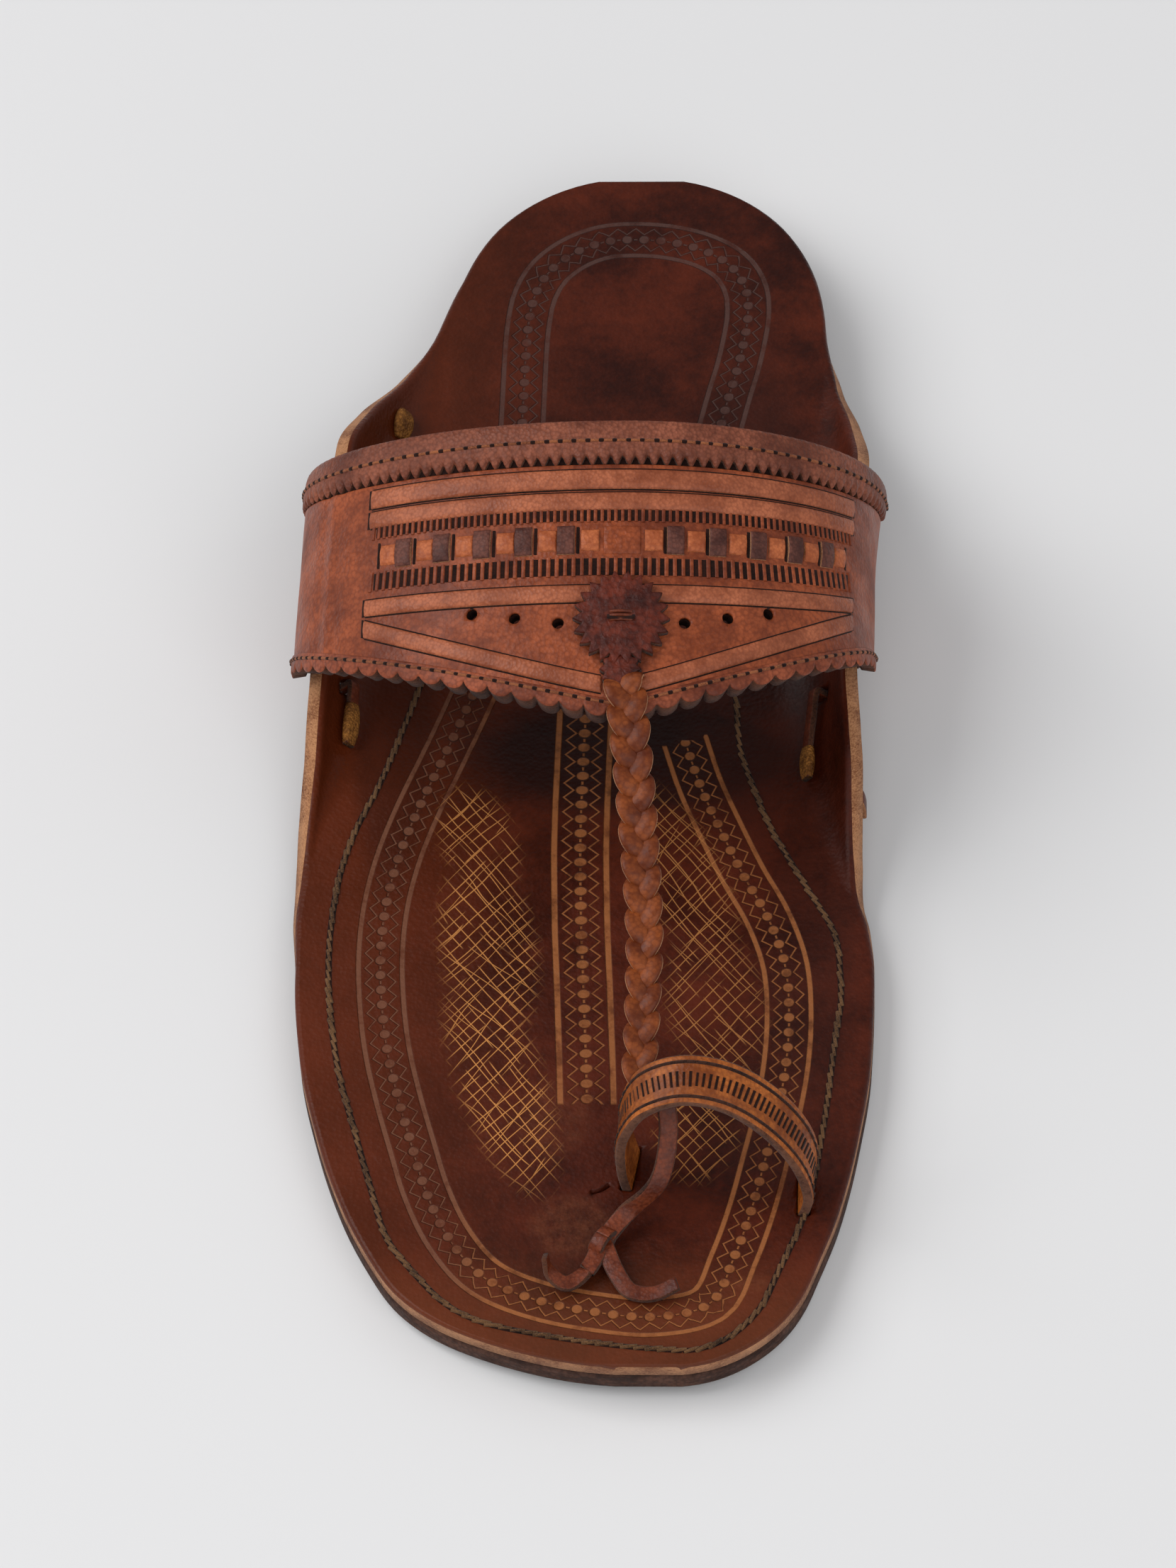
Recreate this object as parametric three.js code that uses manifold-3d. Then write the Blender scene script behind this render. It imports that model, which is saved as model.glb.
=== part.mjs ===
// Kolhapuri sandal for the right foot: toe-loop sandal with a broad tooled instep band.
// Millimetres, +Z up. The toe points to -Y, the heel to +Y, the big-toe side is +X.
import * as THREE from 'three';
import { mergeVertices } from 'three/addons/utils/BufferGeometryUtils.js';
import Module from 'manifold-3d';

const wasm = await Module();
wasm.setup();

// Sole and insole
const LENGTH = 280;
const BALL_WIDTH = 110;
const OUTSOLE_THICK = 4.5;
const LIFT_THICK = 3.4;
const LIFT_COUNT = 2;
const TOE_SPRING = 3;
const INSOLE_THICK = 3.3;
const INSOLE_BEVEL = 0.9;
const CLEARANCE = 0.3;

// Ears of the insole, turned up beside the instep
const EAR_WIDTH = 26;
const EAR_BEND_SHARE = 0.7;

// Instep band
const TIP_HEIGHT = 50;
const RIDGE_SLOPE = 0.315;
const CREST_X = 9.5;
const CREST_POWER = 2.2;
const BAND_CENTRE_BACK = 33;
const BAND_CENTRE_FRONT = -24;
const BAND_SIDE_BACK = 59;
const BAND_SIDE_FRONT_LATERAL = 22;
const BAND_SIDE_FRONT_MEDIAL = 19;
const LEG_BELOW_EAR = 12;
const BAND_EASE = 0.6;
const LINING_THICK = 2.2;
const LAYER_THICK = 0.9;
const BAND_THICK = LINING_THICK + LAYER_THICK;

// Tooling of the band, measured from its back edge at the crest
const BINDING_WIDTH = 8.4;
const PANEL_GAP = 1;
const STRIP_ROWS = [{ from: 10.4, to: 13.6 }, { from: 14.4, to: 17.3 }, { from: 31.6, to: 34.4 }];
const STRIP_REACH = 52;
const CENTRE_GAP = 3.6;
const SQUARE_COUNT = 6;
const SQUARE_PITCH = 8.2;
const SQUARE_FIRST = 6.1;
const SQUARE_SIZE = 4.6;
const SQUARE_ROW = 20.6;
const ROW_DRAW = 0.3;
const FRONT_STRIP = { from: 4.4, to: 7.4 };
const BORDER_WIDTH = 3.6;
const SCALLOP_PITCH = 4.6;
const SCALLOP_DEPTH = 1.5;
const HOLE_COUNT = 3;
const HOLE_DIAMETER = 2.3;
const HOLE_FIRST = 12;
const HOLE_PITCH = 8.4;
const HOLE_ROW = 38.6;

// Rosette over the root of the braid
const ROSETTE_DIAMETER = 17.4;
const ROSETTE_TEETH = 24;
const ROSETTE_TOOTH = 1.3;
const ROSETTE_THICK = 1.2;
const ROSETTE_Y = -5.7;

// Braid, toe loop and thongs
const BRAID_WIDTH = 6.4;
const BRAID_PERIOD = 16.8;
const STRAND_WIDTH = 3.4;
const STRAND_THICK = 2.2;
const LOOP_SPAN = 34;
const LOOP_HEIGHT = 26;
const LOOP_STRIP = 9.5;
const LOOP_THICK = 2;
const LOOP_X = 27.7;
const LOOP_Y = -95;
const TIE_WIDTH = 4.4;
const TIE_THICK = 1.3;
const LACING_WIDTH = 3.4;
const LACING_THICK = 1.3;
const LACING_EASE = 1.1;

const HALF = LENGTH / 2;
const HEEL_RISE = LIFT_COUNT * (LIFT_THICK + CLEARANCE);
const SOLE_STACK = OUTSOLE_THICK + CLEARANCE + INSOLE_THICK;

// Place along the length, then the two edges as shares of the ball width
const OUTLINE = [
  { at: -0.500, lateral: -0.145, medial: 0.345 },
  { at: -0.464, lateral: -0.245, medial: 0.382 },
  { at: -0.421, lateral: -0.316, medial: 0.418 },
  { at: -0.371, lateral: -0.380, medial: 0.460 },
  { at: -0.314, lateral: -0.429, medial: 0.491 },
  { at: -0.250, lateral: -0.466, medial: 0.513 },
  { at: -0.186, lateral: -0.481, medial: 0.518 },
  { at: -0.143, lateral: -0.482, medial: 0.500 },
  { at: -0.100, lateral: -0.467, medial: 0.447 },
  { at: -0.057, lateral: -0.442, medial: 0.395 },
  { at: -0.014, lateral: -0.404, medial: 0.355 },
  { at: 0.036, lateral: -0.362, medial: 0.333 },
  { at: 0.093, lateral: -0.325, medial: 0.330 },
  { at: 0.157, lateral: -0.295, medial: 0.347 },
  { at: 0.221, lateral: -0.276, medial: 0.378 },
  { at: 0.286, lateral: -0.266, medial: 0.411 },
  { at: 0.350, lateral: -0.261, medial: 0.430 },
  { at: 0.400, lateral: -0.256, medial: 0.431 },
  { at: 0.450, lateral: -0.250, medial: 0.427 },
  { at: 0.500, lateral: -0.227, medial: 0.409 },
];
const TOE_END = { from: -0.418, centre: 0.155, power: 2.6 };
const HEEL_END = { from: 0.329, centre: 0.084, power: 2.45 };

// Width of each ear as a share of EAR_WIDTH, and the angle it is turned up to
const EARS = [
  { at: -0.179, lateral: 0.00, lateralAngle: 0, medial: 0.00, medialAngle: 0 },
  { at: -0.129, lateral: 0.01, lateralAngle: 18, medial: 0.03, medialAngle: 20 },
  { at: -0.093, lateral: 0.04, lateralAngle: 36, medial: 0.19, medialAngle: 45 },
  { at: -0.057, lateral: 0.12, lateralAngle: 54, medial: 0.45, medialAngle: 62 },
  { at: -0.021, lateral: 0.28, lateralAngle: 66, medial: 0.73, medialAngle: 72 },
  { at: 0.029, lateral: 0.56, lateralAngle: 74, medial: 0.90, medialAngle: 76 },
  { at: 0.093, lateral: 0.81, lateralAngle: 76, medial: 0.94, medialAngle: 76 },
  { at: 0.157, lateral: 0.94, lateralAngle: 76, medial: 0.89, medialAngle: 75 },
  { at: 0.207, lateral: 0.92, lateralAngle: 74, medial: 0.70, medialAngle: 68 },
  { at: 0.257, lateral: 0.65, lateralAngle: 62, medial: 0.38, medialAngle: 52 },
  { at: 0.307, lateral: 0.29, lateralAngle: 44, medial: 0.11, medialAngle: 30 },
  { at: 0.357, lateral: 0.07, lateralAngle: 18, medial: 0.00, medialAngle: 0 },
  { at: 0.407, lateral: 0.00, lateralAngle: 0, medial: 0.00, medialAngle: 0 },
];

// Height of the ground line of the outsole, as shares of the toe spring and the heel rise
const GROUND = [
  { at: -0.500, toe: 1.00, heel: 0.00 },
  { at: -0.450, toe: 0.50, heel: 0.00 },
  { at: -0.395, toe: 0.12, heel: 0.00 },
  { at: -0.340, toe: 0.00, heel: 0.00 },
  { at: 0.015, toe: 0.00, heel: 0.00 },
  { at: 0.080, toe: 0.00, heel: 0.20 },
  { at: 0.150, toe: 0.00, heel: 0.72 },
  { at: 0.221, toe: 0.00, heel: 1.00 },
  { at: 0.500, toe: 0.00, heel: 1.00 },
];
const HEEL_BREAST = 0.225;

// Middle of the toe loop's inner face: across the span, along the foot, and up, as shares
const LOOP_PATH = [
  { across: -0.46, along: -0.02, up: -0.09 },
  { across: -0.50, along: 0.04, up: 0.23 },
  { across: -0.49, along: 0.12, up: 0.58 },
  { across: -0.38, along: 0.20, up: 0.87 },
  { across: -0.18, along: 0.24, up: 1.00 },
  { across: 0.06, along: 0.16, up: 0.96 },
  { across: 0.29, along: -0.04, up: 0.76 },
  { across: 0.46, along: -0.30, up: 0.46 },
  { across: 0.51, along: -0.50, up: 0.19 },
  { across: 0.46, along: -0.60, up: -0.09 },
];

// Braid from the band's tip to the toe loop: height over the straight line between its ends
const BRAID_ROUTE = [
  { along: 0.00, side: 0.0, sag: 0.0 },
  { along: 0.12, side: 0.7, sag: 0.6 },
  { along: 0.35, side: 1.7, sag: -1.6 },
  { along: 0.60, side: 2.2, sag: -2.6 },
  { along: 0.82, side: 1.2, sag: -1.4 },
  { along: 1.00, side: 0.0, sag: 0.0 },
];

// Thongs that lace the ears: from the slit along the inner face, in shares of LENGTH and of the ear's width
const LACINGS = {
  lateral: [
    { at: 0.050, reach: 0.46 },
    { at: 0.036, reach: 0.40 },
    { at: 0.020, reach: 0.33 },
    { at: 0.004, reach: 0.27 },
  ],
  medial: [
    { at: 0.038, reach: 0.52 },
    { at: 0.018, reach: 0.43 },
    { at: -0.004, reach: 0.34 },
    { at: -0.026, reach: 0.27 },
  ],
};

// Smooth curve through one column of a table, with no overshoot between the rows
function curveOf(table, column) {
  const at = table.map((row) => row.at);
  const value = table.map((row) => row[column]);
  const last = at.length - 1;
  const slope = at.slice(1).map((place, i) => (value[i + 1] - value[i]) / (place - at[i]));
  const tangent = at.map((place, i) => {
    if (i === 0) return slope[0];
    if (i === last) return slope[last - 1];
    if (slope[i - 1] * slope[i] <= 0) return 0;
    return (2 * slope[i - 1] * slope[i]) / (slope[i - 1] + slope[i]);
  });
  return (place) => {
    const x = THREE.MathUtils.clamp(place, at[0], at[last]);
    let i = 0;
    while (i < last - 1 && x > at[i + 1]) i += 1;
    const span = at[i + 1] - at[i];
    const t = (x - at[i]) / span;
    const rest = 1 - t;
    return rest * rest * (1 + 2 * t) * value[i]
      + t * t * (3 - 2 * t) * value[i + 1]
      + span * t * rest * (rest * tangent[i] - t * tangent[i + 1]);
  };
}

const lateralEdge = curveOf(OUTLINE, 'lateral');
const medialEdge = curveOf(OUTLINE, 'medial');
const earCurves = {
  lateral: { width: curveOf(EARS, 'lateral'), angle: curveOf(EARS, 'lateralAngle') },
  medial: { width: curveOf(EARS, 'medial'), angle: curveOf(EARS, 'medialAngle') },
};
const toeRise = curveOf(GROUND, 'toe');
const heelRise = curveOf(GROUND, 'heel');

function groundLine(y) {
  return TOE_SPRING * toeRise(y / LENGTH) + HEEL_RISE * heelRise(y / LENGTH);
}

function bedHeight(y) {
  return groundLine(y) + SOLE_STACK;
}

// How far the outline is drawn in towards the middle of the toe or heel end
function endRounding(y) {
  const end = y < 0 ? TOE_END : HEEL_END;
  const start = Math.abs(end.from) * LENGTH;
  const past = (Math.abs(y) - start) / (HALF - start);
  if (past <= 0) return 1;
  return Math.max(0, 1 - past ** end.power) ** (1 / end.power);
}

// Edge of the sole at y; side is -1 for lateral and 1 for medial
function soleEdge(y, side) {
  const middle = (y < 0 ? TOE_END : HEEL_END).centre * BALL_WIDTH;
  const edge = (side < 0 ? lateralEdge : medialEdge)(y / LENGTH) * BALL_WIDTH;
  return middle + (edge - middle) * endRounding(y);
}

function earWidth(y, side) {
  return EAR_WIDTH * earCurves[side < 0 ? 'lateral' : 'medial'].width(y / LENGTH);
}

// Point of the insole, reach millimetres of leather out from the sole's edge, depth below its upper face
function earPoint(y, side, reach, depth) {
  const edge = soleEdge(y, side);
  const width = earWidth(y, side);
  const full = THREE.MathUtils.degToRad(earCurves[side < 0 ? 'lateral' : 'medial'].angle(y / LENGTH));
  if (reach <= 0 || full < 1e-3) return new THREE.Vector3(edge + side * reach, y, bedHeight(y) - depth);
  const bend = Math.max(EAR_BEND_SHARE * width, 0.01);
  const turned = full * Math.min(1, reach / bend);
  const straight = Math.max(0, reach - bend);
  const curl = bend / full;
  return new THREE.Vector3(
    edge + side * (curl * Math.sin(turned) + straight * Math.cos(full) + depth * Math.sin(turned)),
    y,
    bedHeight(y) + curl * (1 - Math.cos(turned)) + straight * Math.sin(full) - depth * Math.cos(turned),
  );
}

// Closed geometry from points and triangles, with every face turned outwards
function closedGeometry(points, faces) {
  const turn = new THREE.Vector3();
  const volume = faces.reduce((sum, [a, b, c]) => (
    sum + points[a].dot(turn.crossVectors(points[b], points[c]))
  ), 0);
  const outward = volume < 0 ? faces.map(([a, b, c]) => [a, c, b]) : faces;
  const geometry = new THREE.BufferGeometry();
  geometry.setAttribute('position', new THREE.Float32BufferAttribute(points.flatMap((p) => p.toArray()), 3));
  geometry.setIndex(outward.flat());
  return geometry;
}

// Solid between two grids of points that have the same rows and columns
function plate(top, bottom) {
  const rows = top.length;
  const columns = top[0].length;
  const at = (layer, i, j) => (layer * rows + i) * columns + j;
  const faces = [];
  const quad = (a, b, c, d) => faces.push([a, b, c], [a, c, d]);
  for (let i = 0; i < rows - 1; i += 1) {
    for (let j = 0; j < columns - 1; j += 1) {
      quad(at(0, i, j), at(0, i, j + 1), at(0, i + 1, j + 1), at(0, i + 1, j));
      quad(at(1, i, j), at(1, i + 1, j), at(1, i + 1, j + 1), at(1, i, j + 1));
    }
    const end = columns - 1;
    quad(at(0, i, 0), at(0, i + 1, 0), at(1, i + 1, 0), at(1, i, 0));
    quad(at(0, i, end), at(1, i, end), at(1, i + 1, end), at(0, i + 1, end));
  }
  for (let j = 0; j < columns - 1; j += 1) {
    const end = rows - 1;
    quad(at(0, 0, j), at(1, 0, j), at(1, 0, j + 1), at(0, 0, j + 1));
    quad(at(0, end, j), at(0, end, j + 1), at(1, end, j + 1), at(1, end, j));
  }
  return closedGeometry([...top.flat(), ...bottom.flat()], faces);
}

// Solid through a row of closed rings, with flat ends
function loft(rings) {
  const size = rings[0].length;
  const points = rings.flat();
  const faces = [];
  const at = (i, j) => i * size + (j % size);
  for (let i = 0; i < rings.length - 1; i += 1) {
    for (let j = 0; j < size; j += 1) {
      faces.push([at(i, j), at(i, j + 1), at(i + 1, j + 1)], [at(i, j), at(i + 1, j + 1), at(i + 1, j)]);
    }
  }
  const middle = (ring) => ring.reduce((sum, p) => sum.add(p), new THREE.Vector3()).divideScalar(size);
  const start = points.push(middle(rings[0])) - 1;
  const finish = points.push(middle(rings[rings.length - 1])) - 1;
  for (let j = 0; j < size; j += 1) {
    faces.push([start, at(0, j + 1), at(0, j)]);
    faces.push([finish, at(rings.length - 1, j), at(rings.length - 1, j + 1)]);
  }
  return closedGeometry(points, faces);
}

function solid(geometry) {
  const bare = geometry.clone();
  bare.deleteAttribute('normal');
  bare.deleteAttribute('uv');
  const welded = mergeVertices(bare);
  return new wasm.Manifold(new wasm.Mesh({
    numProp: 3,
    vertProperties: Float32Array.from(welded.getAttribute('position').array),
    triVerts: Uint32Array.from(welded.getIndex().array),
  }));
}

function geometryOf(shape) {
  const mesh = shape.getMesh();
  const geometry = new THREE.BufferGeometry();
  geometry.setAttribute('position', new THREE.BufferAttribute(Float32Array.from(mesh.vertProperties), 3));
  geometry.setIndex(new THREE.BufferAttribute(Uint32Array.from(mesh.triVerts), 1));
  return geometry;
}

function joined(geometries) {
  return geometries.map(solid).reduce((sum, shape) => sum.add(shape));
}

function steps(from, to, count) {
  return Array.from({ length: count + 1 }, (_, i) => from + ((to - from) * i) / count);
}

// Rows of the sole from toe to heel, closer together round both ends
function soleRows(from = -HALF) {
  const toe = TOE_END.from * LENGTH;
  const heel = HEEL_END.from * LENGTH;
  const round = steps(0.08, 1, 5).map((share) => Math.cos((share * Math.PI) / 2));
  const rows = [
    ...round.map((c) => toe - (HALF + toe) * c),
    ...steps(toe, heel, 27).slice(1, -1),
    ...round.reverse().map((c) => heel + (HALF - heel) * c),
  ];
  return from > -HALF ? [from, ...rows.filter((y) => y > from + 1)] : rows;
}

function across(y, columns, z) {
  return columns.map((share) => {
    const left = soleEdge(y, -1);
    return new THREE.Vector3(left + (soleEdge(y, 1) - left) * share, y, z);
  });
}

function makeOutsole() {
  const rows = soleRows();
  return plate(
    rows.map((y) => across(y, [0, 0.5, 1], groundLine(y) + OUTSOLE_THICK)),
    rows.map((y) => across(y, [0, 0.5, 1], groundLine(y))),
  );
}

function makeLift(level) {
  const rows = soleRows(HEEL_BREAST * LENGTH);
  const foot = level * (LIFT_THICK + CLEARANCE);
  return plate(
    rows.map((y) => across(y, [0, 0.5, 1], foot + LIFT_THICK)),
    rows.map((y) => across(y, [0, 0.5, 1], foot)),
  );
}

// One row of the insole from the lateral ear's rim to the medial one, depth below the upper face
function insoleRow(y, depth, bevel) {
  const inset = Math.min(3, 0.25 * (soleEdge(y, 1) - soleEdge(y, -1)));
  const wing = (side) => {
    const width = earWidth(y, side);
    const inside = steps(width - INSOLE_BEVEL, -inset, 4);
    return [
      earPoint(y, side, width, depth + bevel),
      ...inside.map((reach) => earPoint(y, side, reach, depth)),
    ];
  };
  return [...wing(-1), ...wing(1).reverse()];
}

// Height of the band's crest over the floor
function ridgeHeight(y) {
  return TIP_HEIGHT + RIDGE_SLOPE * (y - BAND_CENTRE_FRONT);
}

// The band's inner face stands this far outside the ear's inner face
const BAND_SEAT = INSOLE_THICK + BAND_EASE;
const ARCH_SHARE = 0.8;

function backEdge(turn) {
  return BAND_CENTRE_BACK + (BAND_SIDE_BACK - BAND_CENTRE_BACK) * Math.abs(turn) ** 2.2;
}

function frontEdge(turn) {
  const side = turn < 0 ? BAND_SIDE_FRONT_LATERAL : BAND_SIDE_FRONT_MEDIAL;
  return BAND_CENTRE_FRONT + (side - BAND_CENTRE_FRONT) * Math.abs(turn) ** 1.15;
}

// Point of the band: turn runs from -1, lateral end, over the crest to 1, medial end
function bandPoint(turn, y, height) {
  const side = turn < 0 ? -1 : 1;
  const rim = earPoint(y, side, earWidth(y, side), BAND_SEAT + height);
  const share = Math.abs(turn);
  if (share > ARCH_SHARE) {
    const down = (LEG_BELOW_EAR * (share - ARCH_SHARE)) / (1 - ARCH_SHARE);
    return earPoint(y, side, earWidth(y, side) - down, BAND_SEAT + height);
  }
  const angle = (Math.PI / 2) * (share / ARCH_SHARE);
  const sideways = Math.sin(angle) ** (2 / CREST_POWER);
  const upwards = Math.max(0, Math.cos(angle)) ** (2 / CREST_POWER);
  return new THREE.Vector3(
    CREST_X + (rim.x - CREST_X) * sideways,
    y,
    rim.z + (ridgeHeight(y) + height - rim.z) * upwards,
  );
}

const GIRTH_STEP = 7;

// Girth of the band along its middle, so that the tooling keeps its size in leather
const GIRTH_STEPS = 400;
const girth = (() => {
  const length = [0];
  const middle = (turn) => bandPoint(turn, (backEdge(turn) + frontEdge(turn)) / 2, BAND_THICK);
  const turns = steps(-1, 1, GIRTH_STEPS);
  for (let i = 1; i < turns.length; i += 1) {
    length.push(length[i - 1] + middle(turns[i]).distanceTo(middle(turns[i - 1])));
  }
  const crest = length[GIRTH_STEPS / 2];
  return { turns, length: length.map((value) => value - crest) };
})();
const LATERAL_GIRTH = girth.length[0];
const MEDIAL_GIRTH = girth.length[GIRTH_STEPS];

// Turn of the band at a distance along its girth from the crest, negative on the lateral side
function turnAt(distance) {
  const { turns, length } = girth;
  let i = 1;
  while (i < GIRTH_STEPS && length[i] < distance) i += 1;
  const share = (distance - length[i - 1]) / (length[i] - length[i - 1]);
  return THREE.MathUtils.clamp(turns[i - 1] + (turns[i] - turns[i - 1]) * share, -1, 1);
}

// A place given from the back edge at the crest is drawn closer to it down the sides
function fromBack(turn, distance) {
  return backEdge(turn) - distance * (1 - ROW_DRAW * turn * turn);
}

function fromFront(turn, distance) {
  return frontEdge(turn) + distance;
}

// Patch of the band between two lines that are given as y at each distance along the girth
function bandPatch(distances, backLine, frontLine, low, high, rows = 2) {
  const grid = (height) => distances.map((distance) => {
    const turn = turnAt(distance);
    return steps(backLine(turn, distance), frontLine(turn, distance), rows)
      .map((y) => bandPoint(turn, y, height));
  });
  return plate(grid(high), grid(low));
}

// Even places along the girth, no further apart than a step
function girthPlaces(from, to, step) {
  return steps(from, to, Math.max(1, Math.round((to - from) / step)));
}

// How far a scallop stands out at a distance along the girth
function scallop(distance) {
  const place = ((((distance / SCALLOP_PITCH) % 1) + 1.5) % 1) - 0.5;
  return SCALLOP_DEPTH * Math.sqrt(Math.max(0, 1 - 4 * place * place));
}

function bandPieces() {
  const buried = LINING_THICK - 0.5;
  const whole = girthPlaces(LATERAL_GIRTH, MEDIAL_GIRTH, GIRTH_STEP);
  const lining = bandPatch(
    whole,
    (turn) => backEdge(turn) - 0.3,
    (turn) => fromFront(turn, BORDER_WIDTH - 1),
    0,
    LINING_THICK,
    4,
  );
  const binding = bandPatch(
    whole,
    (turn) => backEdge(turn),
    (turn) => fromBack(turn, BINDING_WIDTH),
    buried,
    BAND_THICK,
    1,
  );
  const border = bandPatch(
    girthPlaces(LATERAL_GIRTH, MEDIAL_GIRTH, SCALLOP_PITCH / 3),
    (turn) => fromFront(turn, BORDER_WIDTH),
    (turn, distance) => fromFront(turn, SCALLOP_DEPTH - scallop(distance)),
    0.25,
    BAND_THICK,
    1,
  );
  const panels = [
    girthPlaces(LATERAL_GIRTH, -STRIP_REACH - 1, GIRTH_STEP),
    girthPlaces(STRIP_REACH + 1, MEDIAL_GIRTH, GIRTH_STEP),
  ].map((places) => bandPatch(
    places,
    (turn) => fromBack(turn, BINDING_WIDTH + PANEL_GAP),
    (turn) => fromFront(turn, BORDER_WIDTH - 1),
    buried,
    BAND_THICK,
    3,
  ));
  const strips = STRIP_ROWS.flatMap((row, index) => {
    const halves = index < 2
      ? [girthPlaces(-STRIP_REACH, STRIP_REACH, GIRTH_STEP)]
      : [girthPlaces(-STRIP_REACH, -CENTRE_GAP, GIRTH_STEP), girthPlaces(CENTRE_GAP, STRIP_REACH, GIRTH_STEP)];
    return halves.map((places) => bandPatch(
      places,
      (turn) => fromBack(turn, row.from),
      (turn) => fromBack(turn, row.to),
      buried,
      BAND_THICK,
      1,
    ));
  });
  const frontStrips = [
    girthPlaces(-STRIP_REACH, -CENTRE_GAP, GIRTH_STEP),
    girthPlaces(CENTRE_GAP, STRIP_REACH, GIRTH_STEP),
  ].map((places) => bandPatch(
    places,
    (turn) => fromFront(turn, FRONT_STRIP.to),
    (turn) => fromFront(turn, FRONT_STRIP.from),
    buried,
    BAND_THICK,
    1,
  ));
  const squares = steps(0, SQUARE_COUNT - 1, SQUARE_COUNT - 1).flatMap((number) => {
    const middle = SQUARE_FIRST + number * SQUARE_PITCH;
    return [-middle, middle].map((place) => bandPatch(
      girthPlaces(place - SQUARE_SIZE / 2, place + SQUARE_SIZE / 2, SQUARE_SIZE),
      (turn) => fromBack(turn, SQUARE_ROW),
      (turn) => fromBack(turn, SQUARE_ROW + SQUARE_SIZE),
      buried,
      BAND_THICK,
      1,
    ));
  });
  return [lining, binding, border, ...panels, ...strips, ...frontStrips, ...squares];
}

// Round punch through the band wall at a place on it
function bandPunch(distance, fromBackEdge, diameter) {
  const turn = turnAt(distance);
  const y = fromBack(turn, fromBackEdge);
  const inner = bandPoint(turn, y, -1);
  const outer = bandPoint(turn, y, BAND_THICK + 1);
  const punch = new THREE.CylinderGeometry(diameter / 2, diameter / 2, inner.distanceTo(outer), 8);
  const turned = new THREE.Quaternion().setFromUnitVectors(
    new THREE.Vector3(0, 1, 0),
    outer.clone().sub(inner).normalize(),
  );
  punch.applyQuaternion(turned);
  punch.translate(...inner.add(outer).multiplyScalar(0.5).toArray());
  return punch;
}

// Rings of a flat strip that follows a route, its width laid along a given direction
function stripRings(route, width, thick, lie, corner = 0.3) {
  const half = width / 2;
  const deep = thick / 2;
  const rim = half - corner * deep;
  const waist = deep - corner * deep;
  const rounded = [
    [-half, -waist], [-rim, -deep], [rim, -deep], [half, -waist],
    [half, waist], [rim, deep], [-rim, deep], [-half, waist],
  ];
  const square = [[-half, -deep], [half, -deep], [half, deep], [-half, deep]];
  const profile = corner > 0 ? rounded : square;
  return route.map((point, i) => {
    const before = route[Math.max(0, i - 1)];
    const after = route[Math.min(route.length - 1, i + 1)];
    const along = after.clone().sub(before).normalize();
    const wide = (typeof lie === 'function' ? lie(i / (route.length - 1)) : lie).clone();
    wide.addScaledVector(along, -wide.dot(along)).normalize();
    const up = new THREE.Vector3().crossVectors(along, wide);
    return profile.map(([a, b]) => point.clone().addScaledVector(wide, a).addScaledVector(up, b));
  });
}

function smoothRoute(points, count) {
  return new THREE.CatmullRomCurve3(points, false, 'centripetal').getSpacedPoints(count);
}

// The toe loop's route, in the middle of its thickness
function loopRoute() {
  const points = LOOP_PATH.map(({ across: share, along, up }) => {
    const y = LOOP_Y + along * LOOP_STRIP;
    return new THREE.Vector3(LOOP_X + share * LOOP_SPAN, y, bedHeight(y) + up * LOOP_HEIGHT);
  });
  return smoothRoute(points, 20);
}

const STRIP_LIE = new THREE.Vector3(0.1, 1, 0);

function makeLoop() {
  return loft(stripRings(loopRoute(), LOOP_STRIP, LOOP_THICK, STRIP_LIE));
}

// Slots in the insole for both feet of the loop
function loopSlots() {
  const route = loopRoute();
  const down = new THREE.Vector3(0, 0, -INSOLE_THICK);
  const feet = [route.slice(0, 4), route.slice(-4).reverse()];
  return feet.map((foot) => {
    const longer = [foot[0].clone().add(down), ...foot];
    return loft(stripRings(longer, LOOP_STRIP + 2 * CLEARANCE, LOOP_THICK + 2 * CLEARANCE, STRIP_LIE));
  });
}

// Ends of the braid: on the band's tip and in the shoulder of the toe loop
function braidRoute() {
  const root = bandPoint(0, BAND_CENTRE_FRONT + 7.5, BAND_THICK - 0.4).add(new THREE.Vector3(0.6, 0, 0));
  const shoulder = loopRoute()[6];
  const end = new THREE.Vector3(shoulder.x + 0.5, LOOP_Y + LOOP_STRIP * 0.42, shoulder.z - 0.6);
  const points = BRAID_ROUTE.map(({ along, side, sag }) => (
    root.clone().lerp(end, along).add(new THREE.Vector3(side, 0, sag))
  ));
  return smoothRoute(points, 32);
}

function braidStrands() {
  const route = braidRoute();
  const length = route.slice(1).reduce((sum, p, i) => sum + p.distanceTo(route[i]), 0);
  const swing = (BRAID_WIDTH - STRAND_WIDTH) / 2;
  const lift = STRAND_THICK * 0.36;
  return [0, 1, 2].map((strand) => {
    const path = route.map((point, i) => {
      const share = i / (route.length - 1);
      const phase = 2 * Math.PI * ((share * length) / BRAID_PERIOD + strand / 3);
      const taper = 1 - 0.12 * share;
      return point.clone().add(new THREE.Vector3(
        swing * taper * Math.sin(phase),
        0,
        lift * Math.sin(2 * phase),
      ));
    });
    return loft(path.map((point, i) => {
      const before = path[Math.max(0, i - 1)];
      const after = path[Math.min(path.length - 1, i + 1)];
      const along = after.clone().sub(before).normalize();
      const wide = new THREE.Vector3(1, 0, 0).addScaledVector(along, -along.x).normalize();
      const up = new THREE.Vector3().crossVectors(along, wide);
      return steps(0, 6, 6).slice(0, -1).map((k) => (k * Math.PI) / 3).map((angle) => point.clone()
        .addScaledVector(wide, (STRAND_WIDTH / 2) * Math.cos(angle))
        .addScaledVector(up, (STRAND_THICK / 2) * Math.sin(angle)));
    }));
  });
}

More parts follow.
